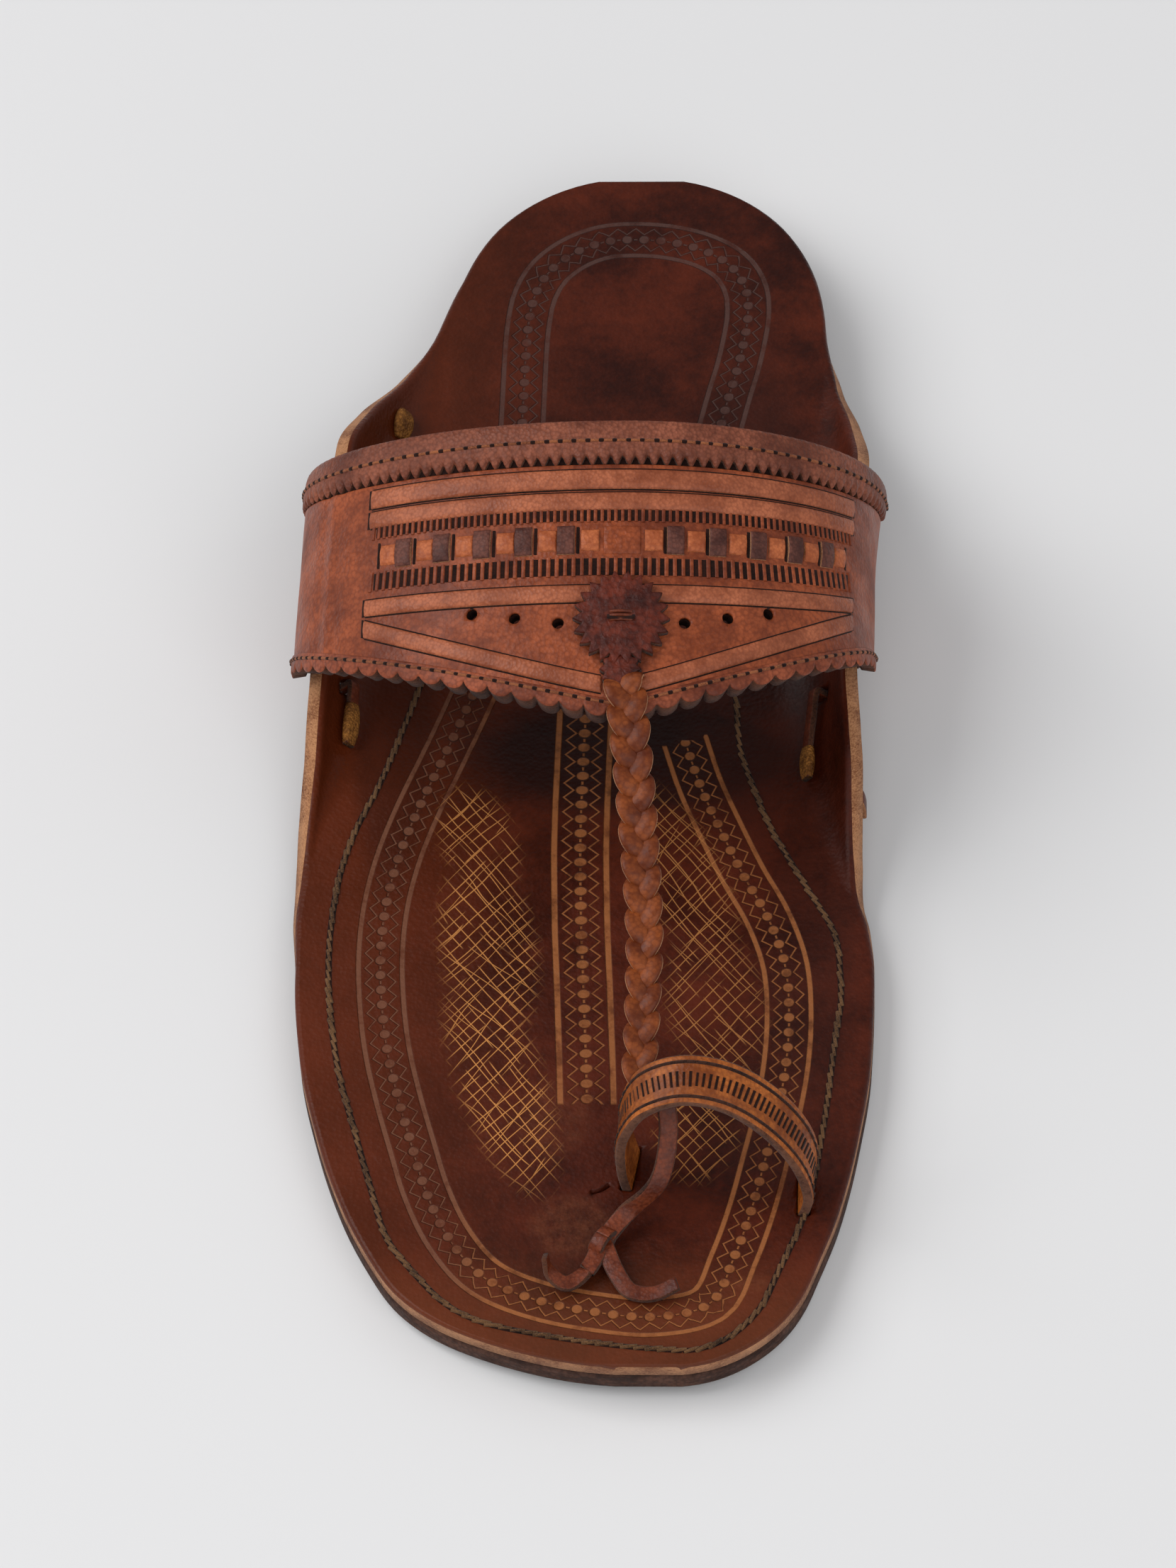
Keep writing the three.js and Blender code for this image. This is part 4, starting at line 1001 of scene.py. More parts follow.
def band_patch(name, places, lines, low, high, materials, soft=0.35, step=1.2, crown=0.0):
    """Piece of leather on the band between its back and front lines, with rounded edges."""
    turn = turn_at(places)
    back, front = (line(turn, places) for line in lines)
    width = float(np.mean(back - front))
    edge = min(soft / width, 0.3)
    inner = np.linspace(edge, 1 - edge, max(2, int(round(width / step)) + 1))
    share = np.concatenate([[0, 0.3 * edge], inner, [1 - 0.3 * edge, 1]])
    fall = np.zeros((len(places), len(share)))
    for index, drop in ((0, 0.8), (1, 0.3), (-2, 0.3), (-1, 0.8)):
        fall[index, :] = np.maximum(fall[index, :], drop * soft)
        fall[:, index] = np.maximum(fall[:, index], drop * soft)
    y = back[:, None] + (front - back)[:, None] * share
    rise = high - fall + crown * np.sin(math.pi * share)
    top = band_point(turn[:, None], y, rise)
    bottom = band_point(turn[:, None], y, np.full(y.shape, float(low)))
    return plate(name, top, bottom, materials)


def back_row(distance):
    return lambda turn, places: from_back(turn, distance)


def front_row(distance, swoop=0.0):
    """Line at a distance from the front edge, a little further from it towards the band's sides."""
    return lambda turn, places: from_front(turn, distance + swoop * (places / STRIP_REACH) ** 2)


def punches():
    """Round cutters for the three holes in each half of the band."""
    made = []
    for across, row in HOLE_PLACES:
        for side in (-1, 1):
            turn = turn_at(side * across)
            y = from_back(turn, row)
            inner = band_point(turn, y, -1.0)
            outer = band_point(turn, y, BAND_THICK + 1.5)
            section = rounded_profile(HOLE_DIAMETER, HOLE_DIAMETER, HOLE_DIAMETER / 2, 5)
            made.append(strip("punch", [inner, outer], section, (1, 0, 0), [shade_black]))
    return made


def lining_back(turn, places):
    return back_edge(turn) - 0.3


whole = stations(LATERAL_GIRTH, MEDIAL_GIRTH, 1.3)
lining = band_patch("band_lining", whole, (lining_back, front_row(2.6)), 0.0, LINING_THICK,
                    [lining_leather, dark_edge, flesh_side], 0.3, 1.5)
cut_from(lining, punches())
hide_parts("upper")
dressed(lining)

# Soft troughs and a ridge on the band's lateral side: place along the girth, half width and depth
SIDE_CREASES = [(-66.0, 1.5, 0.35), (-63.2, 1.0, -0.15), (-60.8, 1.1, 0.25)]
creased_height = np.full(len(whole), FACE_HEIGHT)
for girth, half_width, depth in SIDE_CREASES:
    creased_height = creased_height - depth * np.exp(-((whole - girth) / half_width) ** 2)
face_lines = (back_row(BINDING_WIDTH - 0.1), front_row(BORDER_WIDTH - 1))
face = band_patch("band_face_leather_sheet", whole, face_lines, FACE_FOOT, creased_height[:, None],
                  [face_leather, dark_edge], 0.3, 1.3)
cut_from(face, punches())
dressed(face)


def pinked(turn, places):
    """Front edge of the binding, cut in small points."""
    place = np.abs((places / PINK_PITCH) % 1 - 0.5) * 2
    return from_back(turn, BINDING_WIDTH - PINK_DEPTH * np.clip(1.5 * place - 0.35, 0, 1))


binding = band_patch("band_binding", stations(LATERAL_GIRTH, MEDIAL_GIRTH, 0.4), (back_row(0.0), pinked),
                     1.2, BAND_THICK + 0.25, [binding_leather, dark_edge], 0.8, 1.6, 0.25)
dressed(binding)


def scalloped(turn, places):
    """Front edge of the border, cut in round scallops."""
    place = (places / SCALLOP_PITCH + 0.5) % 1 - 0.5
    bow = SCALLOP_DEPTH * np.sqrt(np.maximum(0, 1 - 4 * place * place))
    return from_front(turn, SCALLOP_DEPTH - bow)


border = band_patch("scalloped_border", stations(LATERAL_GIRTH, MEDIAL_GIRTH, 0.36),
                    (front_row(BORDER_WIDTH), scalloped), 0.3, BAND_THICK - 0.05,
                    [band_leather, dark_edge], 0.35, 1.0, 0.1)
dressed(border)

# The whole sheet is one leather, and strips are laced into it; in its combs, flat near-black sheets lie as
# painted shade in the slots between the bars
for name, back, front in (("comb_slot_painted_shade_1", 17.0, 19.3), ("comb_slot_painted_shade_2", 26.4, 29.7)):
    made = band_patch(name, stations(-COMB_REACH, COMB_REACH, 1.2), (back_row(back), back_row(front)),
                      GROUND_FOOT, GROUND_HEIGHT, [shade_black], 0.1, 1.2)
    dressed(made)


def swooping_row(distance):
    return front_row(distance, STRIP_SWOOP)


def strip_places(from_side, to_side):
    start = -STRIP_REACH if from_side else CENTRE_GAP
    end = STRIP_REACH if to_side else -CENTRE_GAP
    return stations(start, end, 1.2)


# Each strip's name, its ends (0 is the band's middle), its kind of row, its back and front row, and
# how far its groove goes past both; the groove is a thin near-black sheet of painted shade round the strip
STRIPS = [("band_upper_strip_a", -1, 1, back_row, 9.5, 13.2, GROOVE),
          ("band_upper_strip_b", -1, 1, back_row, 13.9, 17.2, GROOVE),
          ("band_curved_strip_lateral", -1, 0, back_row, 31.6, 34.8, GROOVE),
          ("band_curved_strip_medial", 0, 1, back_row, 31.6, 34.8, GROOVE),
          ("front_strip_lateral", -1, 0, swooping_row, 7.6, 4.4, -GROOVE),
          ("front_strip_medial", 0, 1, swooping_row, 7.6, 4.4, -GROOVE)]
grooves = []
for name, from_side, to_side, row, back, front, past in STRIPS:
    places = strip_places(from_side, to_side)
    # Painted shade: a near-black sheet a little wider than the strip, seen as a dark groove round it
    grooves.append(band_patch("part", places, (row(back - past), row(front + past)), GROUND_FOOT,
                              GROUND_HEIGHT, [shade_black], 0.1, 1.0))
    made = band_patch(name, places, (row(back), row(front)), STRIP_FOOT, BAND_THICK,
                      [strip_leather, cut_edge], 0.35, 0.7, 0.22)
    dressed(made)


def joined_pieces(name, pieces):
    """Several pieces of one row as one mesh."""
    bpy.ops.object.select_all(action="DESELECT")
    for each in pieces:
        each.select_set(True)
    bpy.context.view_layer.objects.active = pieces[0]
    bpy.ops.object.join()
    pieces[0].name = name
    return pieces[0]


dressed(joined_pieces("strip_groove_painted_shade", grooves))


def small_patch(start, width, rows, high, material, crown):
    """Square, bar or opening of the weave, from its start along the girth; an opening is a near-black patch
    of painted shadow.
    """
    lines = [back_row(distance) for distance in rows]
    return band_patch("part", stations(start, start + width, 0.8), lines, GROUND_FOOT, high,
                      [material, cut_edge], 0.35, 0.8, crown)


SQUARE_HEIGHT = BAND_THICK - 0.05
BAR_HEIGHT = BAND_THICK + 0.15
CENTRE_HEIGHT = BAND_THICK - 0.15
squares = []
bars = []
openings = []
for number in range(SQUARE_COUNT):
    lateral = -SQUARE_FIRST - number * SQUARE_PITCH
    medial = SQUARE_FIRST + number * SQUARE_PITCH
    half = SQUARE_WIDTH / 2
    for middle in (lateral, medial):
        start = middle - half
        squares.append(small_patch(start, SQUARE_WIDTH, SQUARE_ROWS, SQUARE_HEIGHT, square_leather, 0.3))
    # Near-black patches beside each square: painted shadow in the gap at its side
    for start in (lateral - half - BEFORE_LATERAL, medial + half - INTO_MEDIAL):
        openings.append(small_patch(start, OPENING_WIDTH, OPENING_ROWS, OPENING_HEIGHT, shade_black, 0.0))
    if number > 0:
        start = lateral + half + 0.1
        bars.append(small_patch(start, BAR_WIDTH - 0.2, BAR_ROWS, BAR_HEIGHT, bar_leather, 0.35))
    if number < SQUARE_COUNT - 1:
        start = medial + half + 0.75
        bars.append(small_patch(start, BAR_WIDTH - 0.3, BAR_ROWS, BAR_HEIGHT, bar_leather, 0.35))
bars.append(small_patch(-CENTRE_GAP, 2 * CENTRE_GAP, BAR_ROWS, CENTRE_HEIGHT, face_leather, 0.1))
dressed(joined_pieces("weave_squares", squares))
dressed(joined_pieces("weave_bars", bars))
dressed(joined_pieces("weave_opening_painted_shade", openings))

# Crescent slots that the ends of the strips are tucked into, as near-black patches of painted shade
SLOT_LINES = [(back_row(9.4), back_row(13.3)), (back_row(13.8), back_row(17.3)),
              (back_row(31.4), back_row(34.9)), (swooping_row(7.7), swooping_row(4.3))]
SLOT_ENDS = [(-STRIP_REACH - SLOT_LENGTH, -STRIP_REACH + SLOT_OVERLAP),
             (STRIP_REACH - SLOT_OVERLAP, STRIP_REACH + SLOT_LENGTH)]
slots = []
for lines in SLOT_LINES:
    for start, end in SLOT_ENDS:
        slots.append(band_patch("part", stations(start, end, 0.3, 0.1), lines, GROUND_FOOT, SLOT_HEIGHT,
                                [shade_black], 0.1, 1.0))
dressed(joined_pieces("strip_end_slot_painted_shade", slots))


# Stitches and comb bars: one small shape that is repeated along a guide line
def socket_of(tree, name, kind, way="INPUT"):
    return tree.interface.new_socket(name, in_out=way, socket_type=f"NodeSocket{kind}")


def repeat_tree(name, shape):
    """Node tree that lays stitches or bars along a guide, with sizes as its inputs."""
    tree = bpy.data.node_groups.new(name, "GeometryNodeTree")
    socket_of(tree, "Guide", "Geometry")
    for label in ("Pitch", "Length", "Width", "Height", "Shift", "Unevenness"):
        socket_of(tree, label, "Float")
    socket_of(tree, "Finish", "Material")
    socket_of(tree, "Seed", "Int")
    socket_of(tree, "Repeated", "Geometry", "OUTPUT")
    given = tree.nodes.new("NodeGroupInput").outputs
    link = tree.links.new

    def vector(x=0.0, y=0.0, z=0.0):
        node = tree.nodes.new("ShaderNodeCombineXYZ")
        for socket, value in zip(node.inputs, (x, y, z)):
            put(tree, socket, value)
        return node.outputs[0]

    sweep = tree.nodes.new("GeometryNodeCurveToMesh")
    sweep.inputs["Fill Caps"].default_value = True
    half = product(tree, given["Length"], 0.5)
    back = product(tree, half, -1.0)
    if shape == "stitch":
        sunk = product(tree, given["Height"], -0.6)
        arc = tree.nodes.new("GeometryNodeCurveQuadraticBezier")
        arc.inputs["Resolution"].default_value = 6
        link(vector(back, 0.0, sunk), arc.inputs["Start"])
        link(vector(0.0, 0.0, given["Height"]), arc.inputs["Middle"])
        link(vector(half, 0.0, sunk), arc.inputs["End"])
        ring = tree.nodes.new("GeometryNodeCurvePrimitiveCircle")
        ring.inputs["Resolution"].default_value = 7
        link(product(tree, given["Width"], 0.5), ring.inputs["Radius"])
        link(arc.outputs[0], sweep.inputs["Curve"])
        link(ring.outputs[0], sweep.inputs["Profile Curve"])
    else:
        line = tree.nodes.new("GeometryNodeCurvePrimitiveLine")
        link(vector(0.0, back, 0.0), line.inputs["Start"])
        link(vector(0.0, half, 0.0), line.inputs["End"])
        section = tree.nodes.new("GeometryNodeCurvePrimitiveQuadrilateral")
        link(given["Width"], section.inputs["Width"])
        link(given["Height"], section.inputs["Height"])
        fillet = tree.nodes.new("GeometryNodeFilletCurve")
        fillet.mode = "POLY"
        fillet.inputs["Count"].default_value = 2
        link(product(tree, given["Width"], 0.3), fillet.inputs["Radius"])
        link(section.outputs[0], fillet.inputs["Curve"])
        link(line.outputs[0], sweep.inputs["Curve"])
        link(fillet.outputs[0], sweep.inputs["Profile Curve"])
    line = tree.nodes.new("GeometryNodeMeshToCurve")
    link(given["Guide"], line.inputs["Mesh"])
    spaced = tree.nodes.new("GeometryNodeResampleCurve")
    spaced.mode = "LENGTH"
    link(line.outputs[0], spaced.inputs["Curve"])
    link(given["Pitch"], spaced.inputs["Length"])
    axes = []
    for label in ("facing", "heading"):
        node = tree.nodes.new("GeometryNodeInputNamedAttribute")
        node.data_type = "FLOAT_VECTOR"
        node.inputs["Name"].default_value = label
        axes.append(node.outputs["Attribute"])
    turned = tree.nodes.new("FunctionNodeAxesToRotation")
    turned.primary_axis = "Z"
    turned.secondary_axis = "X"
    link(axes[0], turned.inputs["Primary Axis"])
    link(axes[1], turned.inputs["Secondary Axis"])
    chance = tree.nodes.new("FunctionNodeRandomValue")
    chance.data_type = "FLOAT"
    link(compute(tree, "SUBTRACT", 1.0, given["Unevenness"]), chance.inputs[2])
    link(total(tree, 1.0, given["Unevenness"]), chance.inputs[3])
    link(given["Seed"], chance.inputs["Seed"])
    laid = tree.nodes.new("GeometryNodeInstanceOnPoints")
    link(spaced.outputs[0], laid.inputs["Points"])
    link(sweep.outputs[0], laid.inputs["Instance"])
    link(turned.outputs[0], laid.inputs["Rotation"])
    link(chance.outputs[1], laid.inputs["Scale"])
    moved = tree.nodes.new("GeometryNodeTranslateInstances")
    link(laid.outputs[0], moved.inputs["Instances"])
    link(vector(given["Shift"]), moved.inputs["Translation"])
    real = tree.nodes.new("GeometryNodeRealizeInstances")
    link(moved.outputs[0], real.inputs[0])
    painted = tree.nodes.new("GeometryNodeSetMaterial")
    link(real.outputs[0], painted.inputs["Geometry"])
    link(given["Finish"], painted.inputs["Material"])
    output = tree.nodes.new("NodeGroupOutput")
    link(painted.outputs[0], output.inputs[0])
    return tree


stitch_tree = repeat_tree("stitches_along_a_seam", "stitch")
bar_tree = repeat_tree("bars_along_a_row", "bar")


def repeated(name, tree, guides, sizes, finish, twist=0.0, shift=0.0, unevenness=0.08):
    """Lays the tree's shape along guides: each is a line of places and the way its face looks."""
    points = []
    edges = []
    facings = []
    turned = []
    for route, facing in guides:
        start = len(points)
        along = headings(route)
        points += list(route)
        edges += [(start + i, start + i + 1) for i in range(len(route) - 1)]
        facing = np.broadcast_to(facing, route.shape)
        aside = np.cross(facing, along)
        facings += list(facing)
        turned += list(along * math.cos(twist) + aside * math.sin(twist))
    mesh = bpy.data.meshes.new(name)
    mesh.from_pydata(placed(points).tolist(), edges, [])
    for key, value in (("facing", facings), ("heading", turned)):
        attribute = mesh.attributes.new(key, "FLOAT_VECTOR", "POINT")
        attribute.data.foreach_set("vector", np.asarray(value, np.float32).ravel())
    made = bpy.data.objects.new(name, mesh)
    bpy.context.scene.collection.objects.link(made)
    change = made.modifiers.new("repeated", "NODES")
    change.node_group = tree
    wanted = dict(zip(("Pitch", "Length", "Width", "Height"), (size * MM for size in sizes)))
    wanted.update({"Shift": shift * MM, "Unevenness": unevenness, "Finish": finish, "Seed": 3})
    for item in tree.interface.items_tree:
        if item.in_out == "INPUT" and item.name in wanted:
            change[item.identifier] = wanted[item.name]
    settled(made)
    made.data.shade_smooth()
    return dressed(made)


def band_guide(start, end, row_line, height):
    """Guide along the band's girth, and the way its face looks."""
    places = np.linspace(start, end, max(8, int(abs(end - start))))
    turn = turn_at(places)
    y = row_line(turn, places)
    route = band_point(turn, y, height)
    above = band_point(turn, y, height + 1.0) - route
    normal = unit(np.cross(headings(route), band_point(turn, y + 1.0, height) - route))
    return route, normal * np.sign(np.sum(normal * above, -1, keepdims=True))


def sewn_row(name, guide, size, finish):
    """Running stitches with a needle hole between each two, the hole a near-black mark of painted shade."""
    pitch, length, width, height = size
    repeated(name, stitch_tree, [guide], size, finish)
    repeated(f"{name}_holes", stitch_tree, [guide], (pitch, pitch - length, width * 1.15, height * 0.5),
             shade_black, 0.0, pitch / 2)


# Sizes of stitches and comb bars: pitch, length, width and height
BINDING_STITCH = (2.6, 1.95, 0.62, 0.24)
BORDER_STITCH = (2.6, 1.95, 0.6, 0.22)
COMB_ROWS = [("comb_row_1", 18.2, (1.27, 2.6, 0.68, 0.5)), ("comb_row_2", 28.05, (1.57, 3.6, 0.8, 0.5))]
whole_girth = (LATERAL_GIRTH + 1, MEDIAL_GIRTH - 1)
comb_girth = (-STRIP_REACH + 1.0, STRIP_REACH - 1.0)
binding_seam = band_guide(*whole_girth, back_row(4.3), BAND_THICK + 0.5)
border_seam = band_guide(*whole_girth, front_row(2.6), BAND_THICK + 0.08)
sewn_row("binding_stitches", binding_seam, BINDING_STITCH, tan_thread)
sewn_row("border_stitches", border_seam, BORDER_STITCH, tan_thread)
for name, row, size in COMB_ROWS:
    repeated(name, bar_tree, [band_guide(*comb_girth, back_row(row), FACE_HEIGHT)], size, face_leather)


# Braid from the band's tip to the toe loop
BRAID_ROUTE = [(0.00, 0.0, 0.0), (0.12, 0.7, 0.6), (0.35, 1.7, -1.6), (0.60, 2.2, -2.6), (0.82, 1.2, -1.4),
               (1.00, 0.0, 0.0)]
BRAID_PITCH = 5.6
LOBE_ALONG = np.array([-3.4, -1.9, 0.2, 2.3, 4.2])
LOBE_ASIDE = np.array([-1.3, -2.0, -1.7, -0.5, 1.0])
LOBE_LIFT = np.array([-0.75, 0.25, 0.85, 0.6, -0.5])
LOBE_SECTION, LOBE_EDGES = lens_profile(4.5, 1.9)


def braid_route(count):
    root = band_point(0.0, -16.5, BAND_THICK - 0.4) + np.array([0.6, 0.0, 0.4])
    shoulder = loop_route(21)[6]
    end = np.array([shoulder[0] + 0.5, LOOP_PLACE[1] + LOOP_SIZE["strip"] * 0.42, shoulder[2] - 0.6])
    points = [root + (end - root) * along + [side, 0, sag] for along, side, sag in BRAID_ROUTE]
    return smooth_route(points, count)


middle_line = braid_route(170)
braid_steps = np.linalg.norm(np.diff(middle_line, axis=0), axis=1)
braid_along = np.concatenate([[0], np.cumsum(braid_steps)])
braid_length = braid_along[-1]
braid_side = unit(np.cross(headings(middle_line), np.array([0.0, 0.0, 1.0])))
braid_side *= np.sign(braid_side[:, :1])
braid_up = np.cross(braid_side, headings(middle_line))
braid_up *= np.sign(braid_up[:, 2:])


def braid_spot(along, aside, lift):
    """Place at a length down the braid, aside of its middle and above it."""
    place, side, up = (np.stack([np.interp(along, braid_along, each[:, axis]) for axis in range(3)], -1)
                       for each in (middle_line, braid_side, braid_up))
    return place + side * np.asarray(aside)[..., None] + up * np.asarray(lift)[..., None]


def braid_lobe(side, middle):
    """One visible turn of a strand: round the edge, over the top and under the other side's turn."""
    along = np.clip(middle + LOBE_ALONG, 0, braid_length)
    taper = 1 - 0.2 * middle / braid_length
    route = smooth_route(braid_spot(along, side * LOBE_ASIDE * taper, LOBE_LIFT * taper), 18)
    share = np.linspace(0, 1, 18)
    swell = taper * (0.35 + 0.65 * np.sin(math.pi * np.clip(share * 0.86 + 0.12, 0, 1)) ** 0.7)
    tilt = np.array([1.0, 0.0, -0.25 * side])
    return strip("lobe", route, LOBE_SECTION, tilt, [braid_leather, cut_edge], swell, LOBE_EDGES)


lobes = [strip("core", middle_line - braid_up * 0.5, rounded_profile(4.2, 1.3, 0.5), (1, 0, 0),
               [braid_leather, dark_edge], 1 - 0.2 * braid_along / braid_length)]
for number in range(int(braid_length / BRAID_PITCH) + 1):
    for side, later in ((-1, 0.0), (1, 0.5)):
        middle = (number + later) * BRAID_PITCH
        if middle < braid_length:
            lobes.append(braid_lobe(side, middle))
dressed(joined_pieces("braid_strands", lobes))

# Toe loop with its comb of slots, its grooves and its stitches; the slots are near-black marks of painted
# shade
LOOP_COMB = (1.2, 2.8, 0.62, 0.2)
LOOP_STITCH = (2.1, 1.5, 0.5, 0.16)
LOOP_ROWS = (("front", -3.3), ("back", 3.3))
loop_line = loop_route(110)
loop_along = headings(loop_line)
loop_wide = np.broadcast_to(np.array(LOOP_LIE), loop_line.shape)
loop_wide = unit(loop_wide - loop_along * np.sum(loop_wide * loop_along, -1, keepdims=True))
loop_out = np.cross(loop_along, loop_wide)
loop_middle = loop_line.mean(0) - [0, 0, 6.0]
loop_out *= np.sign(np.sum(loop_out * (loop_line - loop_middle), -1, keepdims=True))
loop_section = rounded_profile(LOOP_SIZE["strip"], LOOP_SIZE["thick"], 0.6)
toe_loop = strip("toe_loop_strap", loop_line, loop_section, LOOP_LIE, [loop_leather, flesh_side])
dressed(toe_loop)


def on_loop(aside, lift, start=6, end=-6):
    """Line on the loop's outer face, aside of its middle."""
    return (loop_line + loop_wide * aside + loop_out * (LOOP_SIZE["thick"] / 2 + lift))[start:end]


repeated("toe_loop_comb_slot_painted_shade", bar_tree, [(on_loop(0.0, -0.05, 8, -4), loop_out[8:-4])], LOOP_COMB,
         shade_black)
groove_section = rounded_profile(0.7, 0.14, 0.05, 2)
for name, aside in LOOP_ROWS:
    dressed(strip(f"toe_loop_groove_{name}", on_loop(aside, -0.04, 3, -3), groove_section, LOOP_LIE,
                  [dark_thread]))
repeated("toe_loop_stitches", stitch_tree, [(on_loop(aside, 0.04), loop_out[6:-6]) for _, aside in LOOP_ROWS],
         LOOP_STITCH, dark_thread)

# Rosette of crinkled leather, with a smaller toothed washer under it over the braid's root
ROSETTE = {"middle_y": -5.7, "radius": 9.0, "teeth": 22, "tooth": 2.0, "low": BAND_THICK + 0.35,
           "high": BAND_THICK + 1.5, "seed": 7}
WASHER = {"middle_y": -15.2, "radius": 3.9, "teeth": 12, "tooth": 1.2, "low": BAND_THICK - 0.4,
          "high": BAND_THICK + 1.0, "seed": 11}
SLIT_HEIGHT = BAND_THICK + 1.83
SLIT_REACH = 2.5
THONG_STITCH = (0.75, 3.9, 0.62, 0.5)
RING_SHARES = (0.0, 0.12, 0.25, 0.4, 0.55, 0.7, 0.82, 0.92, 0.975, 1.0)
WAVE_COUNTS = (3, 5, 8, 11, 13, 17)


def rosette(name, middle_y, radius, teeth, tooth, low, high, seed):
    """Round leather patch with pointed teeth that follows the band."""
    angles = np.linspace(0, 2 * math.pi, teeth * 8, endpoint=False)
    point = np.abs((angles * teeth / (2 * math.pi)) % 1 - 0.5) * 2
    chance = np.random.default_rng(seed)
    waves = chance.uniform(0, 2 * math.pi, 6)
    tops = []
    bottoms = []
    for share in RING_SHARES:
        reach = share * (radius - tooth * (1 - point) * share ** 6)
        turn = turn_at(reach * np.cos(angles))
        y = middle_y + reach * np.sin(angles)
        crinkle = sum(np.sin(angles * count + wave + share * 5) for count, wave in zip(WAVE_COUNTS, waves))
        rise = high + 0.05 * crinkle * share * (1 - share ** 4)
        rise += 0.3 * (1 - share ** 2) - 0.3 * (share > 0.99)
        tops.append(band_point(turn, y, rise))
        bottoms.append(band_point(turn, y, np.full(len(angles), low)))
    rings = np.array(tops + bottoms[::-1])
    count = len(angles)
    index = np.arange(rings.shape[0] * count).reshape(-1, count)
    following = np.roll(index, -1, axis=1)
    faces = np.stack([index[:-1], following[:-1], following[1:], index[1:]], -1)
    part = np.ones(faces.shape[:2], int)
    part[:len(RING_SHARES) - 1] = 0
    points = rings.reshape(-1, 3)
    faces = faced_outward(points, faces.reshape(-1, 4))
    made = mesh_object(name, points, faces, [rosette_leather, dark_edge], part.ravel())
    weld = made.modifiers.new("closed_middle", "WELD")
    weld.merge_threshold = 0.00001
    settled(made)
    return made


petals = rosette("rosette_leather_patch", **ROSETTE)
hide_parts("rosette")
dressed(petals)
dressed(rosette("braid_root_washer", **WASHER))
centre = band_point(0.0, ROSETTE["middle_y"], BAND_THICK + 2.0)
# Near-black slit across the rosette's middle, where the thong goes through: painted shade
slit_across = np.linspace(-SLIT_REACH, SLIT_REACH, 9)
slit_line = band_point(turn_at(slit_across), np.full(9, ROSETTE["middle_y"]), SLIT_HEIGHT)
dressed(strip("rosette_slit_painted_shade", slit_line, rounded_profile(2.0, 0.2, 0.08, 2), (0, 1, -0.3), [shade_black]))
stitch_line = centre + np.array([[0, y, 0.3 * y] for y in np.linspace(-0.75, 0.75, 7)])
repeated("rosette_thong_stitch", stitch_tree, [(stitch_line, np.array([0, -0.3, 1.0]))], THONG_STITCH,
         thong_leather, math.pi / 2)

# Thong with its knot on the bed and two cut ends
shoulder = loop_route(21)[7]
tie_start = shoulder + [3.4, 0, -3.4]
tie_start[1] = LOOP_PLACE[1] + 2
KNOT = np.array([6.96, -113.1, 0.0])
KNOT[2] = bed_height(KNOT[1]) + 2.6
TIE_WIDTH = 3.5
TIE_THICK = 1.3


def over_bed(x, y, height):
    return (x, y, float(bed_height(y)) + height)


def from_knot(*steps):
    return [KNOT] + [over_bed(KNOT[0] + x, KNOT[1] + y, height) for x, y, height in steps]


tie_main = [tie_start, tie_start + [0.3, -4.6, -5], over_bed(tie_start[0] - 1.6, LOOP_PLACE[1] - 9, 9),
            over_bed(KNOT[0] + 4.2, KNOT[1] + 5.4, 4), KNOT]
lateral_tail = from_knot((-2.8, -6.4, 2.2), (-6.6, -9.2, 1.9), (-9.6, -7.6, 3.6), (-10.4, -6, 6.4))
medial_tail = from_knot((2.6, -6.6, 2), (5.4, -10.8, 1.7), (9.6, -11.4, 1.7), (14, -10, 3.2))
share = np.linspace(0, 1, 50)
tie_section = rounded_profile(TIE_WIDTH, TIE_THICK, 0.35)
lateral_lie = np.column_stack([1 - share, 0.4 + share, 0 * share])
medial_lie = np.column_stack([1 - share, 1 + share, 0.2 + 0 * share])
knot_turn = np.linspace(0, 2 * math.pi, 40)
knot_across = np.sin(knot_turn)
knot_ring = KNOT + np.column_stack([1.3 * knot_across, 2.0 * knot_across, 1.75 * np.cos(knot_turn)])
knot_section = rounded_profile(3.0, 1.2, 0.4)
TIE_PARTS = [(smooth_route(tie_main, 50), tie_section, (1, 0.25, 0), None),
             (smooth_route(lateral_tail, 50), tie_section, lateral_lie, 1 - 0.25 * share),
             (smooth_route(medial_tail, 50), tie_section, medial_lie, 1 - 0.2 * share),
             (knot_ring, knot_section, (0.85, -0.5, 0.1), None)]
pieces = []
for route, section, lie, taper in TIE_PARTS:
    pieces.append(strip("tie", route, section, lie, [thong_leather, dark_edge], taper))
tie = joined_pieces("thong_tie_strip", pieces)
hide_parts("thong_tie")
dressed(tie)


# Lacing thongs of both ears, the knob behind the band and the thong's end outside the medial ear
def ear_spot(y, side, share, depth):
    return ear_point(y, side, share * ear_width(y, side), depth)


# Knob: place along the sandal, share up the ear and depth; the medial end: steps from its root
KNOB = [(70.5, 0.44, -0.3), (72.3, 0.48, -0.9), (75.0, 0.54, -0.9), (76.8, 0.58, -0.3)]
MEDIAL_END = [(0.0, 0.0, 0.0), (1.6, -0.3, -0.4), (2.3, -0.6, -2.6), (2.4, -0.8, -5.0)]
knob = smooth_route([ear_spot(y, -1, share, depth) for y, share, depth in KNOB], 20)
knob_lie = ear_spot(74.0, -1, 0.7, -1.0) - ear_spot(74.0, -1, 0.4, -1.0)
knob_swell = np.sin(math.pi * np.linspace(0.12, 0.88, 20)) ** 0.5
knob_section = rounded_profile(4.4, 2.2, 1.0)
rear_knob = strip("rear_lacing_knob", knob, knob_section, knob_lie, [lacing_leather], knob_swell)
dressed(rear_knob)
